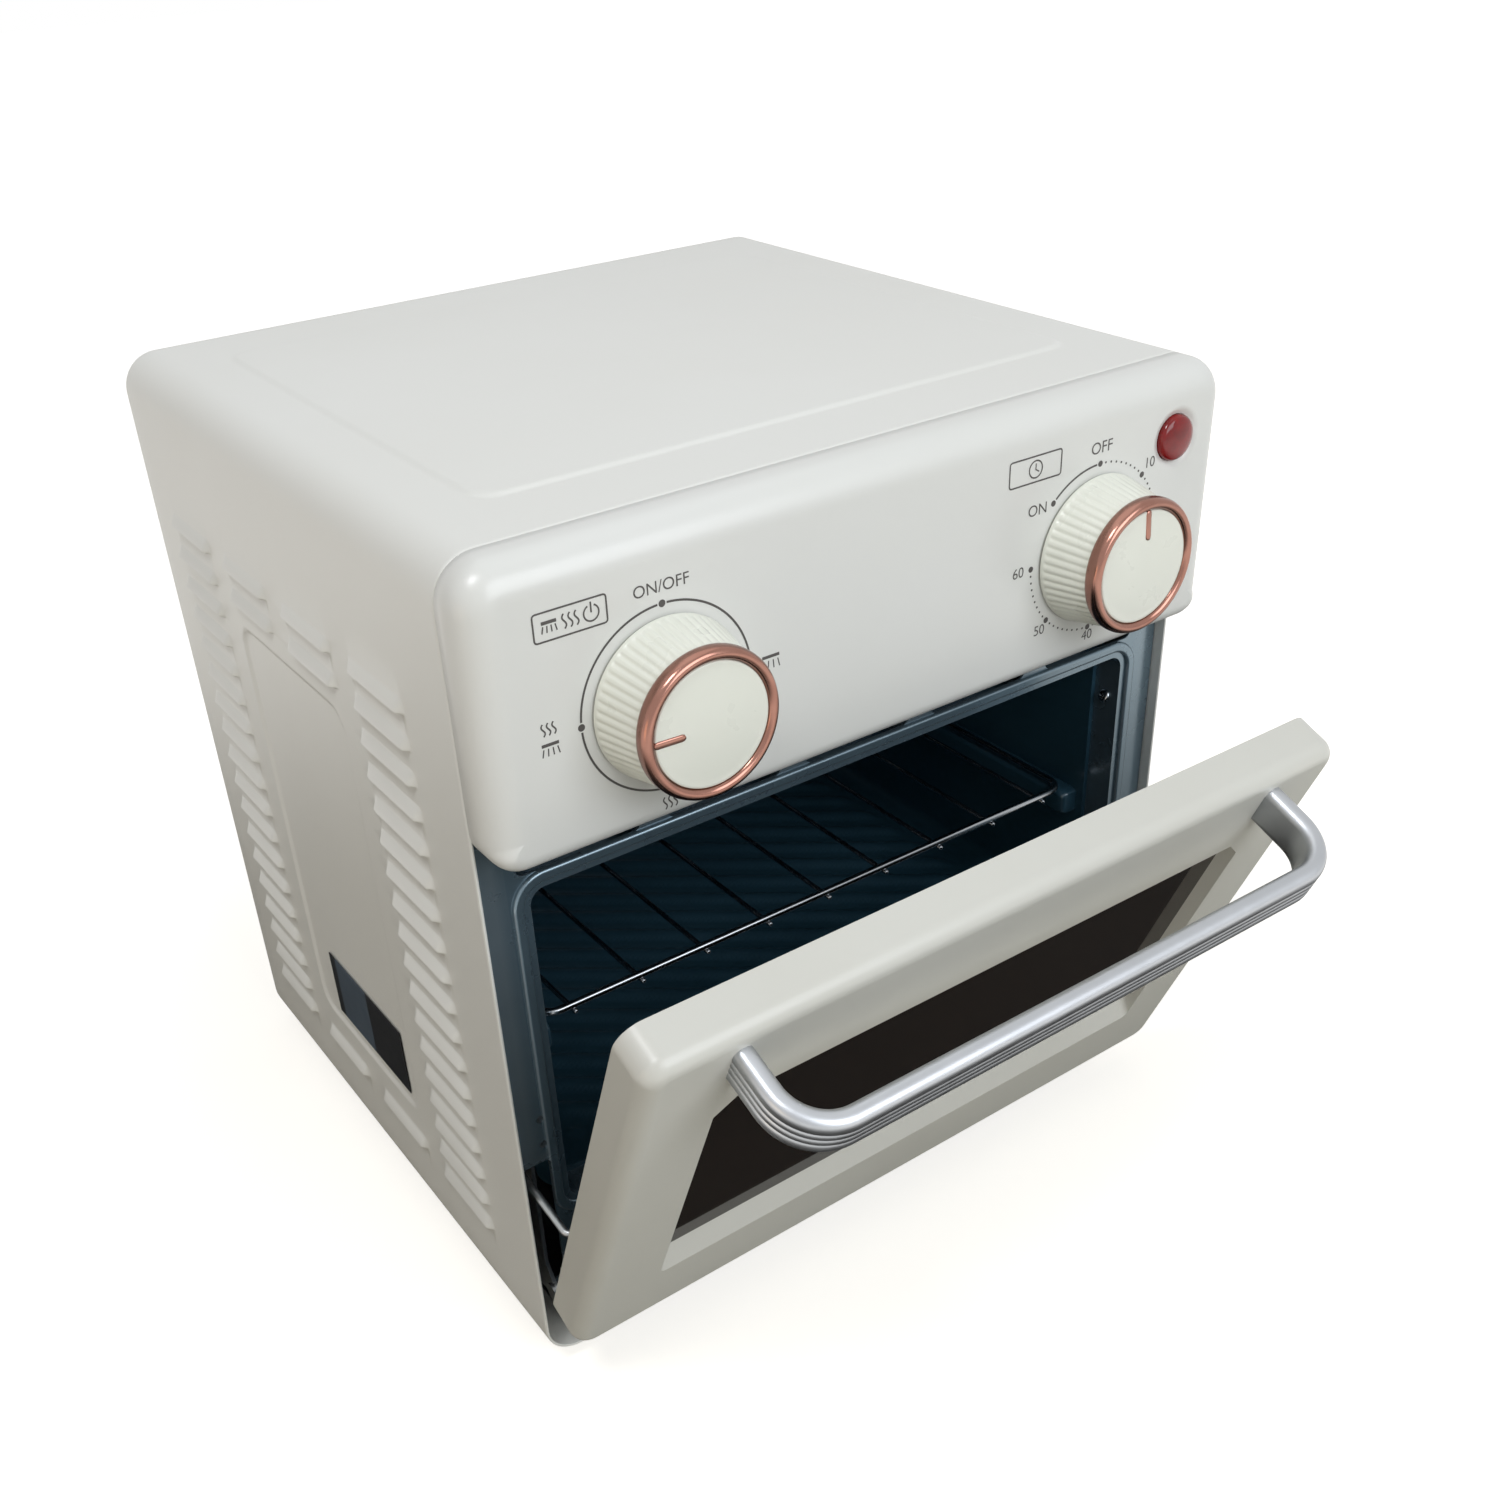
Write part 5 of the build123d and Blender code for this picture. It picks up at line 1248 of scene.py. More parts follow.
@dataclass
class ControlPanel:
    """The pillow-edged moulding with its printed dials and pilot lamp.

    Sizes are in millimetres. The wall is given as (y, inset), from inside, and
    the dish round the lamp as (radius, depth).
    """

    paint: Paint
    scatter: Scatter
    width: float = 320.0
    bottom: float = 233.6
    top: float = 336.0
    thick: float = 17.2
    soft_edge: float = 11.5
    low_edge: float = 6.0
    top_corner: float = 15.0
    low_corner: float = 12.0
    wall: tuple[Pair, ...] = ((-13.0, 4.0), (5.0, 3.7), (5.0, 1.3), (0.0, 1.3), (0.0, 0.25),
                              (-0.3, 0.0))
    dish: tuple[Pair, ...] = ((12.4, 0.0), (12.0, 0.0), (11.2, 0.12), (10.3, 0.5), (9.6, 0.95),
                              (9.1, 1.2), (8.8, 1.3), (8.7, 2.4))
    lamp: Pair = (133.0, 310.5)
    lamp_radius: float = 8.6
    lens_fit: float = 0.1
    lens_sink: float = 3.0
    lens_high: float = 0.5
    lens_round: float = 0.25
    lens_dome: float = 2.0
    knob_x: float = 93.7
    knob_z: float = 278.0
    dial_radius: float = 31.8

    def outline(self) -> list[Pair]:
        """The panel seen from the front.

        Returns:
            Its corners, anticlockwise.
        """
        middle = (self.top + self.bottom) / 2
        radii = (self.top_corner, self.top_corner, self.low_corner, self.low_corner)
        box = rounded_box(self.width, self.top - self.bottom, radii, 12)
        return [(x, z + middle) for x, z in box]

    def section(self) -> list[tuple[float, float, float, float]]:
        """The moulding from its inner wall over the soft edge to its face.

        Returns:
            For each ring y, how much of the edge's radius y adds, the inset, and
            how much of the radius the inset adds.
        """
        soft = [(-self.thick, 1 - math.sin(t), 0.0, 1 - math.cos(t))
                for t in spread(0, math.pi / 2, 12)]
        wall = [(y, 0.0, inset, 0.0) for y, inset in self.wall]
        return [*wall, *soft, (-self.thick, 0.0, 0.25, 1.0)]

    def build_body(self) -> None:
        """Makes the moulding, with a dish round the pilot lamp."""
        outline = self.outline()
        normals = inward(outline)
        work = bmesh.new()
        rings = []
        for y, y_share, inset, inset_share in self.section():
            ring = []
            for (x, z), (nx, nz) in zip(outline, normals):
                # The edge is tighter along the bottom than elsewhere.
                edge = self.soft_edge + (self.low_edge - self.soft_edge) * ease((nz - 0.15) / 0.7)
                reach = inset + edge * inset_share
                place = spot(x + nx * reach, y + edge * y_share, z + nz * reach)
                ring.append(work.verts.new(place))
            rings.append(ring)
        bridge(work, rings)
        work.faces.new(rings[0])
        dish = [[work.verts.new(spot(x, -self.thick + drop, z))
                 for x, z in circle(*self.lamp, radius, 48)] for radius, drop in self.dish]
        bridge(work, dish)
        work.faces.new(dish[-1])
        fill_between(work, rings[-1], dish[0])
        mesh = settled("panel_moulding", work)
        finish_mesh(mesh, False, 50)
        body = as_object("panel_moulding", mesh)
        dress(body, "cabinet", "control_panel", self.paint.panel)

    def build_lamp(self) -> None:
        """Makes the domed red lens."""
        radius = self.lamp_radius - self.lens_fit
        rim = radius - self.lens_round
        face = -self.thick
        high = face - self.lens_high
        profile = [(radius, face + self.lens_sink), (radius, face - 0.2), (rim, high)]
        for step in spread(0, 1, 9)[1:]:
            reach = rim * math.cos(step * math.pi / 2)
            rise = self.lens_dome * math.sin(step * math.pi / 2)
            profile.append((max(reach, 0.05), high - rise))
        lens = lathe("lamp_lens", self.lamp, profile, 48)
        dress(lens, "cabinet", "pilot_lens", self.paint.lens)

    def build_function_print(self) -> None:
        """Prints the left dial: a line round the knob and four positions."""
        dial = (-self.knob_x, self.knob_z, self.dial_radius)
        ink = Print(self.paint, "function_dial_print", -self.thick)
        for start in range(0, 360, 90):
            ink.line([on_clock(*dial, a) for a in spread(start + 3, start + 87, 30)], DIAL_LINE)
            ink.dot(on_clock(*dial, start), 1.25)
        ink.box((-125.35, 313.95), 24.9, 9.1)
        ink.rays(-132.5, 313.8, 0.85)
        ink.waves(-125.3, 313.9, 0.95)
        ink.line([on_clock(-118.2, 313.9, 2.6, a) for a in spread(25, 335, 20)], SIGN_LINE)
        ink.line([(-118.2, 314.0), (-118.2, 317.4)], SIGN_LINE)
        ink.text("ON/OFF", (-93.5, 315.4), 4.0)
        ink.rays(-54.0, 278.0, 1.15)
        ink.waves(-136.6, 281.4, 0.85)
        ink.rays(-136.6, 274.6, 1.0)
        ink.waves(-96.0, 240.8, 0.9)
        ink.build()

    def build_timer_print(self) -> None:
        """Prints the right dial: minutes, a dotted line, and the two ends."""
        dial = (self.knob_x, self.knob_z, self.dial_radius)
        ink = Print(self.paint, "timer_dial_print", -self.thick)
        ink.line([on_clock(*dial, a) for a in spread(-42, -3, 16)], DIAL_LINE)
        for clock in range(-45, 271, 45):
            ink.dot(on_clock(*dial, clock), 1.15)
        ink.box((61.5, 315.35), 24.6, 9.3)
        ink.line([on_clock(61.5, 315.3, 3.1, a) for a in spread(0, 342, 19)], SIGN_LINE,
                 closed=True)
        ink.line([(61.5, 317.4), (61.5, 315.2), (63.1, 314.2)], HAND_LINE)
        ink.text("OFF", (93.9, 315.7), 4.4)
        ink.text("ON", (63.6, 299.9), 4.2)
        minutes = (("10", 45, 37.0), ("20", 90, 37.4), ("30", 135, 37.0), ("40", 180, 35.2),
                   ("50", 225, 36.4), ("60", 270, 38.0))
        for label, clock, reach in minutes:
            ink.text(label, on_clock(self.knob_x, self.knob_z, reach, clock), 4.0)
        ink.build()
        places = [spot(x, -self.thick - INK_LIFT, z) for x, z in
                  (on_clock(*dial, clock) for clock in range(5, 270, 5) if clock % 45)]
        bead = bpy.data.meshes.new("tick")
        corners = [Vector((x, 0, z)) * MM for x, z in circle(0, 0, 0.45, 10)]
        bead.from_pydata(corners, [], [tuple(range(10))])
        ticks = self.scatter.run("timer_minute_ticks", as_object("tick", bead), places,
                                 self.paint.ink)
        dress(ticks, "cabinet")

    def build(self) -> None:
        """Makes the whole panel."""
        self.build_body()
        self.build_lamp()
        self.build_function_print()
        self.build_timer_print()


# ---- knobs ------------------------------------------------------------------
@dataclass
class Knob:
    """A fluted knob with a copper ring, a domed cap and an inlaid pointer.

    Sizes are in millimetres. Skirt_foot is given as (inset, place behind the
    skirt's rear edge), and skirt_steps are distances in front of that edge.
    Flute_rear and flute_front are (distance from that edge or from the neck at
    which the flutes start, length over which they reach their full depth).
    """

    paint: Paint
    label: str
    centre: Pair
    pointer_clock: float
    back: float = -17.9
    neck: float = -37.9
    front: float = -42.9
    skirt_radius: float = 28.0
    neck_radius: float = 24.2
    skirt_in: float = 6.0
    skirt_foot: tuple[Pair, ...] = ((3.0, 0.05), (0.6, 0.0), (0.15, -0.15))
    skirt_steps: tuple[float, ...] = (0.5, 1.1, 1.4, 1.8, 2.3, 5, 10, 15, 18.5, 19.3, 19.6, 19.9)
    flutes: int = 54
    flute_depth: float = 0.42
    flute_points: int = 8
    flute_rear: Pair = (1.2, 0.9)
    flute_front: Pair = (0.1, 0.5)
    flute_sharpness: float = 1.6
    ring_radius: float = 25.2
    ring_width: float = 4.3
    ring_back: float = -36.2
    ring_square: float = 0.85
    cap_fit: float = 0.02
    cap_rim: float = 1.2
    dome: float = 1.0
    pointer_start: float = 21.3
    pointer_length: float = 10.8
    pointer_width: float = 2.5

    def build(self) -> None:
        """Makes the four visible pieces."""
        self.add(self.skirt(), self.paint.knob, "", "knob_plastic")
        self.add(self.ring(), self.paint.copper, "_ring", "copper_trim")
        self.add(self.cap(), self.paint.knob, "_cap", "knob_plastic")
        self.add(self.pointer(), self.paint.copper, "_pointer", "copper_trim")

    def add(self, piece: Object, finish: Material, part: str, slot: str) -> None:
        """Dresses a piece and puts it in place of its CAD node.

        Args:
            piece: the piece.
            finish: its material.
            part: what its node's name adds to the knob's.
            slot: not used.
        """
        body = self.label + "_knob"
        dress(piece, body, body + part, finish)

    def ripple(self, turn: float, y: float) -> float:
        """How far the flutes cut in.

        Args:
            turn: the angle round the knob in radians.
            y: the place along its axis.

        Returns:
            The change of radius, nought or less.
        """
        rear, front = self.flute_rear, self.flute_front
        inside = (ease((self.back - rear[0] - y) / rear[1])
                  * ease((y - self.neck - front[0]) / front[1]))
        wave = 0.5 - 0.5 * math.cos(turn * self.flutes)
        return -self.flute_depth * inside * wave ** self.flute_sharpness

    def skirt(self) -> Object:
        """Makes the tapered skirt with its fine flutes.

        Returns:
            The skirt.
        """
        slope = (self.skirt_radius - self.neck_radius) / (self.back - self.neck)
        profile = [(self.skirt_radius - inset, self.back + behind)
                   for inset, behind in self.skirt_foot]
        for y in (self.back - step for step in self.skirt_steps):
            profile.append((self.skirt_radius - (self.back - y) * slope, y))
        profile.append((self.neck_radius - self.skirt_in, self.neck))
        return lathe(self.label + "_skirt", self.centre, profile,
                     self.flutes * self.flute_points, self.ripple, 60)

    def ring(self) -> Object:
        """Makes the copper ring with its soft rounded section.

        Returns:
            The ring.
        """
        outer, inner = self.ring_radius, self.ring_radius - self.ring_width
        middle = (outer + inner) / 2
        half, deep = self.ring_width / 2, (self.ring_back - self.front) / 2
        centre_y = (self.ring_back + self.front) / 2
        profile = []
        for turn in spread(0, 2 * math.pi, 28)[:-1]:
            c, s = math.cos(turn), math.sin(turn)
            across = math.copysign(abs(c) ** self.ring_square, c) * half
            along = math.copysign(abs(s) ** self.ring_square, s) * deep
            profile.append((middle + across, centre_y + along))
        rows: Rows = []
        for turn in spread(0, 2 * math.pi, 120)[:-1]:
            c, s = math.cos(turn), math.sin(turn)
            rows.append([spot(self.centre[0] + r * c, y, self.centre[1] + r * s)
                         for r, y in profile])
        return skin(self.label + "_ring", rows, wrap_rows=True, wrap_points=True, sharp=60)

    def cap(self) -> Object:
        """Makes the domed cap inside the ring.

        Returns:
            The cap.
        """
        seat = self.ring_radius - self.ring_width - self.cap_fit
        edge_y = self.front + self.cap_rim
        profile = [(seat, self.neck - 0.5), (seat, edge_y + 0.1), (seat - 0.3, edge_y - 0.15)]
        for reach in (0.95, 0.85, 0.7, 0.5, 0.3, 0.1):
            y = edge_y - self.dome * (1 - reach**2) - 0.1 * (1 - reach)
            profile.append((seat * reach, y))
        return lathe(self.label + "_cap", self.centre, profile, 96, sharp=60)

    def pointer(self) -> Object:
        """Makes the inlaid copper bar, from the ring inwards.

        Returns:
            The bar.
        """
        seat = self.ring_radius - self.ring_width
        low = self.front + self.cap_rim - self.dome
        turn = math.radians(self.pointer_clock)
        rows: Rows = []
        # The bar narrows at both ends, and its section is a low roof.
        for share, grow in ((0, 0.3), (0.03, 0.8), (0.1, 1), (0.9, 1), (0.97, 0.8), (1, 0.3)):
            r = self.pointer_start - self.pointer_length * share
            face = low + self.dome * (r / seat) ** 2
            row = []
            for a, b in ((-1, 0.9), (-1, -0.2), (-0.6, -0.45), (0.6, -0.45), (1, -0.2), (1, 0.9)):
                across = a * self.pointer_width / 2 * grow
                x = self.centre[0] + r * math.sin(turn) + across * math.cos(turn)
                z = self.centre[1] + r * math.cos(turn) - across * math.sin(turn)
                row.append(spot(x, face + b, z))
            rows.append(row)
        return skin(self.label + "_pointer", rows, wrap_points=True, caps=True, sharp=70)


# ---- door -------------------------------------------------------------------
@dataclass
class DoorHandle:
    """The flat aluminium bar bent into a wide handle."""

    paint: Paint
    leg_x: float = 121.2
    height: float = 213.6
    root: float = -19.8
    out: float = 33.9
    wide: float = 17.6
    thick: float = 7.6
    bend: float = 18.5
    edge: float = 3.4
    grooves: int = 3
    groove_pitch: float = 3.0
    groove: tuple[Pair, ...] = ((-0.7, 0.0), (-0.4, 0.18), (0.0, 0.36), (0.4, 0.18), (0.7, 0.0))

    def section(self) -> list[Pair]:
        """Draws the bar's section, with fine grooves along its outer face.

        Returns:
            (across, upwards) points, anticlockwise.
        """
        points = rounded_box(self.thick, self.wide, (self.edge,) * 4, 8)
        for number in range(self.grooves):
            middle = (number - (self.grooves - 1) / 2) * self.groove_pitch
            points += [(self.thick / 2 - deep, middle + dz) for dz, deep in self.groove]
        return points

    def build(self) -> None:
        """Sweeps the bar from one leg to the other."""
        end = self.root - self.out
        places = ((-1, self.root), (-1, end), (1, end), (1, self.root))
        corners = [on_door(side * self.leg_x, y, self.height) for side, y in places]
        up = (on_door(0, 0, 10) - on_door(0, 0, 0)).normalized()
        path = bent_path(corners, self.bend, 16)
        bar = sweep("handle_bar", path, self.section(), up, sharp=35)
        dress(bar, "door", "handle", self.paint.aluminium)


# ---- carried-over forms -----------------------------------------------------
def islands(node: Object, place: Callable[[Vector], Vector] = lambda point: point
            ) -> list[tuple[Vector, Vector]]:
    """The box of each separate body of a CAD node.

    Args:
        node: the CAD node.
        place: turns a scene point into the frame that the boxes are taken in.

    Returns:
        Lowest and highest corners, in metres.
    """
    work = merged(node)
    seen: set[int] = set()
    found = []
    work.verts.ensure_lookup_table()
    for first in work.verts:
        if first.index in seen:
            continue
        seen.add(first.index)
        waiting, points = [first], []
        while waiting:
            vertex = waiting.pop()
            points.append(place(vertex.co))
            for edge in vertex.link_edges:
                other = edge.other_vert(vertex)
                if other.index not in seen:
                    seen.add(other.index)
                    waiting.append(other)
        low = Vector([min(p[i] for p in points) for i in range(3)])
        high = Vector([max(p[i] for p in points) for i in range(3)])
        found.append((low, high))
    work.free()
    return found


# In degrees: faces that turn by less than the first are joined, and edges that
# turn by more than the second are broken.
JOIN_WITHIN, BREAK_OVER = 0.5, 50


@dataclass(frozen=True)
class Carried:
    """A piece that keeps its CAD form, with joined faces and eased edges.

    Attributes:
        node: the CAD node it stands for.
        piece: the name of the dressed piece.
        finish: its material.
        body: the body it rides on.
        slot: not used.
        ease_mm: how far its sharp edges are broken; nought leaves them.
    """

    node: str
    piece: str
    finish: Material
    body: str
    slot: str
    ease_mm: float = 0.0

    def build(self, nodes: dict[str, Object]) -> None:
        """Makes the piece from a copy of the node's mesh.

        Args:
            nodes: the CAD nodes by name.
        """
        work = merged(nodes[self.node])
        bmesh.ops.dissolve_limit(work, angle_limit=math.radians(JOIN_WITHIN),
                                 verts=work.verts, edges=work.edges)
        if self.ease_mm:
            steep = [e for e in work.edges
                     if e.is_manifold and e.calc_face_angle(0) > math.radians(BREAK_OVER)]
            bmesh.ops.bevel(work, geom=steep, offset=self.ease_mm * MM, offset_type="OFFSET",
                            segments=2, profile=0.5, affect="EDGES", clamp_overlap=True)
        mesh = settled(self.piece, work)
        shade(mesh, 38)
        rough = as_object(self.piece + "_rough", mesh)
        weighted = rough.modifiers.new("flat faces stay flat", "WEIGHTED_NORMAL")
        weighted.keep_sharp = True
        made = as_object(self.piece, baked(rough))
        bpy.data.objects.remove(rough)
        dress(made, self.body, self.node, self.finish)


@dataclass
class PanScrew:
    """A cross-recessed pan screw, set where the CAD screws are."""

    scatter: Scatter
    head_radius: float = 2.8
    head_high: float = 1.8
    shank_radius: float = 1.5
    cross_long: float = 1.5
    cross_wide: float = 0.42
    cross_deep: float = 0.9
    turn_step: int = 37

    def template(self, length: float) -> Object:
        """Draws one screw about its middle, with its head towards the rear.

        Args:
            length: whole length, in millimetres.

        Returns:
            The template object.
        """
        top = length / 2
        head = top - self.head_high
        profile = [(self.shank_radius * 0.7, -top), (self.shank_radius, 0.9 - top),
                   (self.shank_radius, head), (self.head_radius, head),
                   (self.head_radius, top - 0.9), (self.head_radius * 0.93, top - 0.45),
                   (self.head_radius * 0.78, top - 0.14)]
        work = bmesh.new()
        rings = [[work.verts.new(p) for p in row] for row in turned(profile, 32, shift=0.5)]
        bridge(work, rings)
        work.faces.new(rings[0])
        w, long = self.cross_wide, self.cross_long
        star = [(long, -w), (long, w), (w, w), (w, long), (-w, long), (-w, w), (-long, w),
                (-long, -w), (-w, -w), (-w, -long), (w, -long), (w, -w)]
        rim, pit = ([work.verts.new(Vector((x * share, y, z * share)) * MM) for x, z in star]
                    for share, y in ((1, top), (0.7, top - self.cross_deep)))
        bridge(work, (rim, pit))
        work.faces.new(pit)
        fill_between(work, rings[-1], rim)
        mesh = settled("pan_screw", work)
        shade(mesh, 35)
        return as_object("pan_screw", mesh)

    def build(self, node: Object, piece: str, finish: Material, body: str, slot: str,
              tilt: float = 0.0, sideways: bool = False) -> None:
        """Sets the screws of one node.

        Args:
            node: the CAD node of the screws.
            piece: the name of the dressed piece.
            finish: the screws' material.
            body: the body they ride on.
            slot: not used.
            tilt: how far the screws are turned about X, in degrees.
            sideways: whether they run across, with their heads towards the middle.
        """
        lean = Matrix.Rotation(math.radians(tilt), 3, "X")
        boxes = islands(node, lambda point: lean.inverted() @ point)
        axis = 0 if sideways else 1
        length = (boxes[0][1][axis] - boxes[0][0][axis]) / MM
        places = [lean @ ((low + high) / 2) for low, high in boxes]
        turns = []
        for number, place in enumerate(places):
            spin = math.radians(self.turn_step * number % 90)
            if sideways:
                turns.append(Vector((spin, 0.0, math.copysign(math.pi / 2, place.x))))
            else:
                turns.append(Vector((lean @ Matrix.Rotation(spin, 3, "Y")).to_euler()))
        made = self.scatter.run(piece, self.template(length), places, finish, turns)
        dress(made, body, node.name)


# ---- rack and cavity --------------------------------------------------------
@dataclass
class WireRack:
    """The chromed rack: one loop of wire, with bars welded under it."""

    paint: Paint
    scatter: Scatter
    half_width: float = 132.0
    front: float = 25.0
    back: float = 208.0
    level: float = 142.6
    corner: float = 8.0
    rim_radius: float = 1.6
    bar_radius: float = 1.0
    bars: int = 9
    bar_in: float = 12.8
    proud: float = 2.2
    weld: float = 0.2

    def build(self) -> None:
        """Makes the loop and sets the bars under it."""
        middle = (self.front + self.back) / 2
        outline = rounded_box(2 * self.half_width, self.back - self.front, (self.corner,) * 4, 8)
        path = [spot(x, y + middle, self.level) for x, y in outline]
        wire = circle(0, 0, self.rim_radius, 12)
        loop = sweep("rack_loop", path, wire, Vector((0, 0, 1)), loop=True, sharp=80)
        dress(loop, "rack", "wire_rack", self.paint.chrome)
        half = (self.back - self.front) / 2 + self.proud
        r = self.bar_radius
        ends = [(0.55 * r, -half), (r, -half + 0.5), (r, half - 0.5), (0.55 * r, half)]
        bar = skin("rack_bar", turned(ends, 10), wrap_points=True, caps=True, sharp=80)
        level = self.level - (self.rim_radius + r - self.weld)
        reach = self.half_width - self.bar_in
        places = [spot(x, middle, level) for x in spread(-reach, reach, self.bars - 1)]
        bars = self.scatter.run("rack_bars", bar, places, self.paint.chrome)
        dress(bars, "rack")


@dataclass
class RackRail:
    """A pressed ledge with a closed, rounded front, under one side of the rack."""

    paint: Paint
    wall: float = 138.0
    reach: float = 8.0
    top: float = 140.7
    drop: float = 12.0
    front: float = 22.0
    back: float = 216.0
    edge: float = 2.6
    nose_share: float = 0.6
    least_corner: float = 0.1

    def build(self, side: int) -> None:
        """Makes the ledge on one side.

        Args:
            side: minus one for the left, one for the right.
        """
        label = "left" if side < 0 else "right"
        middle = self.top - self.drop / 2
        corners = (self.edge, self.least_corner, self.least_corner, self.edge)
        nose = [(self.front + self.edge * 2 * (1 - math.sin(t)), self.edge * (1 - math.cos(t)))
                for t in reversed(spread(0, math.pi / 2, 6))]
        rows: Rows = []
        for y, inset in [*nose, (self.back, 0.0)]:
            width = self.reach - inset * self.nose_share
            section = rounded_box(2 * width, self.drop - 2 * inset * self.nose_share, corners, 6)
            rows.append([spot(side * (self.wall - max(x, 0.0)), y, z + middle) for x, z in section])
        rail = skin("rail_" + label, rows, wrap_points=True, caps=True, sharp=50)
        dress(rail, "cabinet", "rack_rail_" + label, self.paint.liner)


@dataclass
class Feet:
    """The four rubber feet, each with a soft rim and a ring groove."""

    paint: Paint
    scatter: Scatter
    radius: float = 11.0
    height: float = 6.0
    stud_radius: float = 3.0
    stud_high: float = 5.2

    def build(self, node: Object) -> None:
        """Sets the feet where the CAD feet are.

        Args:
            node: the CAD node of the feet.
        """
        r, h, stud = self.radius, self.height, self.stud_radius
        profile = [(0.05, self.stud_high), (stud * 0.8, self.stud_high),
                   (stud, self.stud_high - 0.6), (stud, 0.0), (r * 0.94, 0.0), (r, -0.5),
                   (r * 0.97, -h * 0.55), (r * 0.93, -h + 0.9), (r * 0.88, -h + 0.25),
                   (r * 0.82, -h), (r * 0.6, -h), (r * 0.57, -h + 0.7), (r * 0.34, -h + 0.7),
                   (r * 0.31, -h), (0.05, -h)]
        rows = turned(profile, 40, upright=True)
        foot = skin("foot", rows, wrap_points=True, caps=True, sharp=35)
        places = [Vector(((low.x + high.x) / 2, (low.y + high.y) / 2, h * MM))
                  for low, high in islands(node)]
        feet = self.scatter.run("rubber_feet", foot, places, self.paint.rubber)
        dress(feet, "cabinet", node.name)


@dataclass
class CavityFloor:
    """Diagonal ribs pressed into the floor of the cavity."""

    paint: Paint
    width: float = 252.0
    front: float = 30.0
    back: float = 216.0
    level: float = 74.0
    lift: float = 0.05
    fade: float = 9.0
    cells: tuple[int, int] = (150, 120)
    pitch: float = 15.0
    rise: float = 2.2
    heading: float = math.radians(38.3)
    valley: float = -0.35
    crest: float = 0.9

    def growth(self) -> Growth:
        """Builds the tree that presses slanted ribs into a flat sheet.

        Returns:
            The tree with its inputs.
        """
        growth = Growth("pressed_ribs", "Sheet", {
            "Pitch": "NodeSocketFloat", "Rise": "NodeSocketFloat", "Heading": "NodeSocketFloat",
            "Finish": "NodeSocketMaterial"}, "Ribbed")
        tree, given = growth.tree, growth.given
        place = add_node(tree, "GeometryNodeInputPosition").outputs[0]
        axes = add_node(tree, "ShaderNodeSeparateXYZ", {0: place}).outputs
        cos = add_node(tree, "ShaderNodeMath", {0: given["Heading"]}, operation="COSINE")
        sin = add_node(tree, "ShaderNodeMath", {0: given["Heading"]}, operation="SINE")
        along = add_node(tree, "ShaderNodeMath", {0: axes[0], 1: sin.outputs[0]},
                         operation="MULTIPLY")
        across = add_node(tree, "ShaderNodeMath", {
            0: axes[1], 1: cos.outputs[0], 2: along.outputs[0]}, operation="MULTIPLY_ADD")
        cycles = add_node(tree, "ShaderNodeMath", {0: across.outputs[0], 1: given["Pitch"]},
                          operation="DIVIDE")
        phase = add_node(tree, "ShaderNodeMath", {0: cycles.outputs[0], 1: 2 * math.pi},
                         operation="MULTIPLY")
        wave = add_node(tree, "ShaderNodeMath", {0: phase.outputs[0]}, operation="SINE")
        crest = add_node(tree, "ShaderNodeMapRange", {
            "Value": wave.outputs[0], "From Min": self.valley, "From Max": self.crest},
            interpolation_type="SMOOTHSTEP")
        inside = add_node(tree, "GeometryNodeInputNamedAttribute", {"Name": "inside"},
                          data_type="FLOAT")
        masked = add_node(tree, "ShaderNodeMath", {0: crest.outputs[0], 1: inside.outputs[0]},
                          operation="MULTIPLY")
        height = add_node(tree, "ShaderNodeMath", {0: masked.outputs[0], 1: given["Rise"]},
                          operation="MULTIPLY")
        shift = add_node(tree, "ShaderNodeCombineXYZ", {2: height.outputs[0]})
        moved = add_node(tree, "GeometryNodeSetPosition", {
            "Geometry": given["Sheet"], "Offset": shift.outputs[0]})
        growth.end(moved.outputs[0])
        return growth

    def build(self) -> None:
        """Makes the ribbed sheet just above the liner's floor."""
        half = self.width / 2
        xs = spread(-half, half, self.cells[0])
        ys = spread(self.front, self.back, self.cells[1])
        flat = skin("floor_sheet", [[spot(x, y, self.level + self.lift) for x in xs] for y in ys])
        inside = flat.data.attributes.new("inside", "FLOAT", "POINT")
        for number, vertex in enumerate(flat.data.vertices):
            x, y = vertex.co.x / MM, vertex.co.y / MM - FRONT_EDGE
            gap = min(half - abs(x), y - self.front, self.back - y)
            inside.data[number].value = ease(gap / self.fade)
        mesh = self.growth().grow(flat, {
            "Pitch": self.pitch * MM, "Rise": self.rise * MM, "Heading": self.heading,
            "Finish": self.paint.liner})
        mesh.shade_smooth()
        dress(as_object("cavity_floor_ribs", mesh), "cabinet")


# ---- studio -----------------------------------------------------------------
@dataclass(frozen=True)
class Softbox:
    """One soft square lamp that looks at the cabinet.

    Attributes:
        name: the lamp's name.
        place: its place in metres.
        side: its side in metres.
        power: its power in watts.
        colour: its sRGB colour.
        aim: what it looks at, in metres.
    """

    name: str
    place: tuple[float, float, float]
    side: float
    power: float
    colour: str
    aim: tuple[float, float, float] = (0.0, -0.02, 0.17)

    def build(self) -> None:
        """Sets the lamp."""
        data = bpy.data.lights.new(self.name, "AREA")
        data.size = self.side
        data.energy = self.power
        data.color = linear(self.colour)[:3]
        turn = (Vector(self.place) - Vector(self.aim)).to_track_quat("Z", "Y")
        lamp = as_object(self.name, data)
        lamp.matrix_world = Matrix.Translation(self.place) @ turn.to_matrix().to_4x4()


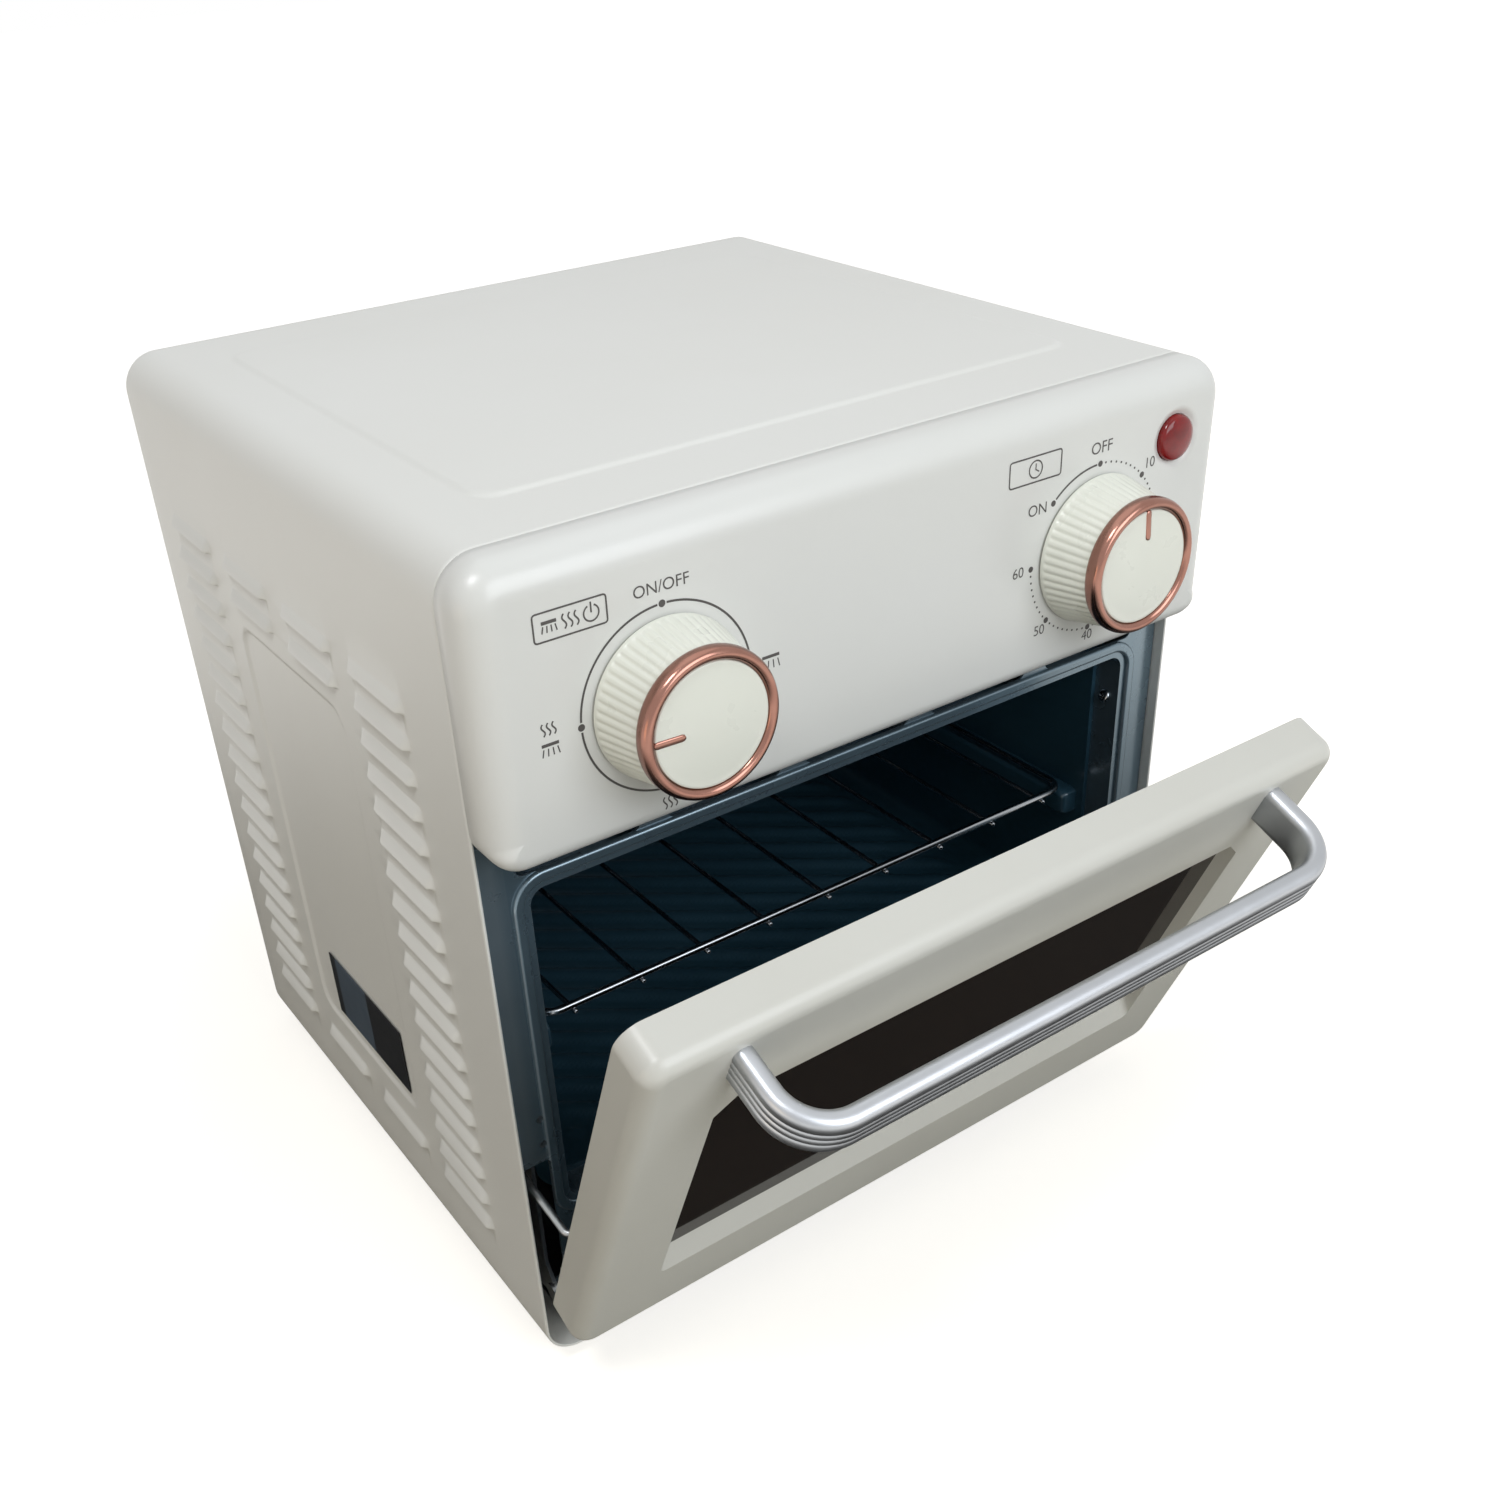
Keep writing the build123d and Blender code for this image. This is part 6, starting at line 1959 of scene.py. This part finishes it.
@dataclass
class Studio:
    """The floor, the lamps, the world and the camera.

    The camera's place is in millimetres, its angles are in radians, and the
    floor's distances are in metres from the origin.
    """

    camera_place: tuple[float, float, float] = (-328.168, -545.782, 513.466)
    yaw: float = 0.598129
    pitch: float = 0.572849
    roll: float = -0.0452773
    focal_px: float = 1605.4479
    middle_px: Pair = (752.46, 858.845)
    image_px: float = 1500.0
    sensor: float = 36.0
    room_light: float = 0.24
    floor_half: float = 6.0
    paper: str = "#d9d4c8"
    reflection_shade: str = "#4f4d4a"
    shadow_reach: Pair = (0.2, 0.55)
    shadow_lift: Pair = (0.64, 0.97)
    gloss_reach: Pair = (0.3, 0.8)
    boxes: tuple[Softbox, ...] = (
        Softbox("front_softbox", (0.15, -1.2, 0.85), 0.9, 9.6, "#f5f9ff"),
        Softbox("top_softbox", (0.1, 0.1, 1.05), 0.7, 0.8, "#ffffff"),
        Softbox("left_warm_fill", (-1.25, -0.3, 0.12), 0.6, 1.0, "#ffd7a4"),
        Softbox("left_softbox", (-0.72, -0.35, 1.5), 0.4, 6.8, "#fbfcff"),
    )

    def build_camera(self) -> None:
        """Sets the camera that took the photograph."""
        data = bpy.data.cameras.new("photo_camera")
        data.sensor_width = self.sensor
        data.lens = self.focal_px / self.image_px * self.sensor
        data.shift_x = (self.image_px / 2 - self.middle_px[0]) / self.image_px
        data.shift_y = (self.middle_px[1] - self.image_px / 2) / self.image_px
        data.clip_start = 0.01
        flat = math.cos(self.pitch)
        ahead = Vector((math.sin(self.yaw) * flat, math.cos(self.yaw) * flat,
                        -math.sin(self.pitch)))
        level = Vector((math.cos(self.yaw), -math.sin(self.yaw), 0.0))
        upright = level.cross(ahead)
        right = math.cos(self.roll) * level + math.sin(self.roll) * upright
        up = math.cos(self.roll) * upright - math.sin(self.roll) * level
        camera = as_object("photo_camera", data)
        frame = Matrix((right, up, -ahead)).transposed().to_4x4()
        camera.matrix_world = Matrix.Translation(Vector(self.camera_place) * MM) @ frame
        bpy.context.scene.camera = camera

    def build_world(self) -> None:
        """Lights the room evenly; the camera, metal and glass see it white."""
        world = bpy.data.worlds.new("studio")
        bpy.context.scene.world = world
        tree = fresh_tree(world)
        ray = add_node(tree, "ShaderNodeLightPath").outputs
        seen = add_node(tree, "ShaderNodeMath", {
            0: ray["Is Camera Ray"], 1: ray["Is Glossy Ray"]}, operation="MAXIMUM")
        through = add_node(tree, "ShaderNodeMath", {
            0: seen.outputs[0], 1: ray["Is Transmission Ray"]}, operation="MAXIMUM")
        level = add_node(tree, "ShaderNodeMapRange", {
            "Value": through.outputs[0], "To Min": self.room_light, "To Max": 1.0})
        shade_of_room = add_node(tree, "ShaderNodeBackground", {
            "Color": linear("#ffffff"), "Strength": level.outputs[0]})
        add_node(tree, "ShaderNodeOutputWorld", {"Surface": shade_of_room.outputs[0]})

    def floor_paper(self) -> Material:
        """Makes the floor's white paper, which the camera sees lifted to white further off.

        Returns:
            The material.
        """
        material = bpy.data.materials.new("white_paper_sweep")
        tree = fresh_tree(material)
        ray = add_node(tree, "ShaderNodeLightPath").outputs
        place = add_node(tree, "ShaderNodeTexCoord").outputs["Object"]
        away = add_node(tree, "ShaderNodeVectorMath", {0: place}, operation="LENGTH")
        rise, far = (add_node(tree, "ShaderNodeMapRange", {
            "Value": away.outputs["Value"], "From Min": reach[0], "From Max": reach[1],
            "To Min": low, "To Max": self.shadow_lift[1]},
            interpolation_type="SMOOTHSTEP").outputs[0]
            for reach, low in ((self.shadow_reach, self.shadow_lift[0]), (self.gloss_reach, 0.0)))
        shown = add_node(tree, "ShaderNodeMath", {0: ray["Is Camera Ray"], 1: rise},
                         operation="MULTIPLY")
        mirrored = add_node(tree, "ShaderNodeMath", {0: ray["Is Glossy Ray"], 1: far},
                            operation="MULTIPLY")
        lift = add_node(tree, "ShaderNodeMath", {0: shown.outputs[0], 1: mirrored.outputs[0]},
                        operation="MAXIMUM")
        paper = add_node(tree, "ShaderNodeBsdfDiffuse", {"Color": linear(self.paper)})
        # Painted shade in reflections: gloss near the cabinet meets a dimmer sheet, as in the
        # photograph's dark glass.
        near_by = add_node(tree, "ShaderNodeMath", {0: ray["Is Glossy Ray"], 1: far},
                           operation="SUBTRACT", use_clamp=True)
        reflection_shade_sheet = add_node(tree, "ShaderNodeBsdfDiffuse", {"Color": linear(self.reflection_shade)})
        ground = add_node(tree, "ShaderNodeMixShader", {
            0: near_by.outputs[0], 1: paper.outputs[0], 2: reflection_shade_sheet.outputs[0]})
        glow = add_node(tree, "ShaderNodeEmission", {"Strength": lift.outputs[0]})
        both = add_node(tree, "ShaderNodeAddShader", {0: ground.outputs[0], 1: glow.outputs[0]})
        # From below the sheet isn't there, so that the underside can be looked at.
        below = add_node(tree, "ShaderNodeNewGeometry").outputs["Backfacing"]
        unseen = add_node(tree, "ShaderNodeBsdfTransparent")
        sheet = add_node(tree, "ShaderNodeMixShader", {
            0: below, 1: both.outputs[0], 2: unseen.outputs[0]})
        add_node(tree, "ShaderNodeOutputMaterial", {"Surface": sheet.outputs[0]})
        return material

    def build_floor(self) -> None:
        """Lays a pale floor that keeps the cabinet's shadow."""
        corners = [(x * self.floor_half, y * self.floor_half, 0)
                   for x, y in ((-1, -1), (1, -1), (1, 1), (-1, 1))]
        mesh = bpy.data.meshes.new("studio_floor")
        mesh.from_pydata(corners, [], [(0, 1, 2, 3)])
        mesh.materials.append(self.floor_paper())
        as_object("studio_floor", mesh)

    def build(self) -> None:
        """Sets up the whole studio."""
        bpy.context.scene.view_settings.view_transform = "Standard"
        self.build_camera()
        self.build_world()
        self.build_floor()
        for box in self.boxes:
            box.build()


# ---- main -------------------------------------------------------------------
def dress_nodes(nodes: dict[str, Object], paint: Paint) -> None:
    """Gives every CAD node its finish.

    Args:
        nodes: the CAD nodes by name.
        paint: the finishes.
    """
    finishes = paint.of_nodes()
    for name, node in nodes.items():
        node.data.materials.clear()
        node.data.materials.append(finishes[name])
        LOG.info("%s: %s", name, finishes[name].name)


def dress_carried(nodes: dict[str, Object], paint: Paint) -> None:
    """Makes every piece that keeps its CAD form.

    Args:
        nodes: the CAD nodes by name.
        paint: the finishes.
    """
    pieces = (
        Carried("door_frame", "door_moulding", paint.door, "door", "cream_plastic"),
        Carried("door_inner_frame", "door_inner_sheet", paint.frame, "door", "frame_paint", 0.25),
        Carried("door_glass", "door_pane", paint.glass, "door", "dark_glass", 0.5),
        Carried("glass_gasket", "pane_seal", paint.seal, "door", "light_rubber"),
        Carried("front_frame", "front_face_sheet", paint.frame, "cabinet", "frame_paint", 0.25),
        Carried("cavity_liner", "cavity_wrap", paint.liner, "cabinet", "liner_paint", 0.2),
        Carried("cavity_back", "cavity_rear_wall", paint.liner, "cabinet", "liner_paint"),
        Carried("base_pan", "base_tray", paint.zinc, "cabinet", "zinc_steel", 0.25),
        Carried("rear_cover", "rear_sheet", paint.shell, "cabinet", "painted_steel", 0.25),
        Carried("cord_gland", "lead_gland", paint.black, "cabinet", "black_plastic", 0.3),
        *(Carried(f"hinge_bracket_{side}", f"hinge_plate_{side}", paint.zinc, "cabinet",
                  "zinc_steel", 0.2) for side in ("left", "right")),
        *(Carried(f"stay_{side}", f"stay_rod_{side}", paint.zinc, f"stay_{side}", "zinc_steel")
          for side in ("left", "right")),
        Carried("guide_rollers", "stay_rollers", paint.ceramic, "cabinet", "white_ceramic"),
        Carried("uv_reflector", "lamp_reflector", paint.reflector, "cabinet",
                "bright_reflector", 0.2),
        Carried("uv_holders", "lamp_sockets", paint.ceramic, "cabinet", "white_ceramic", 0.3),
        Carried("uv_lamp", "lamp_tube", paint.quartz, "cabinet", "tube_glass"),
        Carried("side_plate", "blank_plate", paint.plate, "cabinet", "plate_print"),
    )
    for piece in pieces:
        piece.build(nodes)


def main() -> None:
    """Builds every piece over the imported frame."""
    logging.basicConfig(level=logging.INFO, format="%(message)s")
    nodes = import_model()["nodes"]
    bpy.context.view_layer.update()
    Studio().build()
    paint = Paint()
    scatter = Scatter()
    dress_nodes(nodes, paint)
    OuterShell(paint).build()
    panel = ControlPanel(paint, scatter)
    panel.build()
    Knob(paint, "function", (-panel.knob_x, panel.knob_z), -90.0).build()
    Knob(paint, "timer", (panel.knob_x, panel.knob_z), 0.0).build()
    DoorHandle(paint).build()
    CavityFloor(paint).build()
    WireRack(paint, scatter).build()
    for side in (-1, 1):
        RackRail(paint).build(side)
    Feet(paint, scatter).build(nodes["feet"])
    dress_carried(nodes, paint)
    screws = PanScrew(scatter)
    screws.build(nodes["rear_cover_screws"], "rear_screws", paint.zinc, "cabinet", "zinc_steel")
    screws.build(nodes["door_screws"], "door_back_screws", paint.zinc, "door", "zinc_steel",
                 DOOR_ANGLE)
    screws.build(nodes["liner_screws"], "liner_wall_screws", paint.chrome, "cabinet",
                 "chrome_wire", sideways=True)


if __name__ == "__main__":
    main()
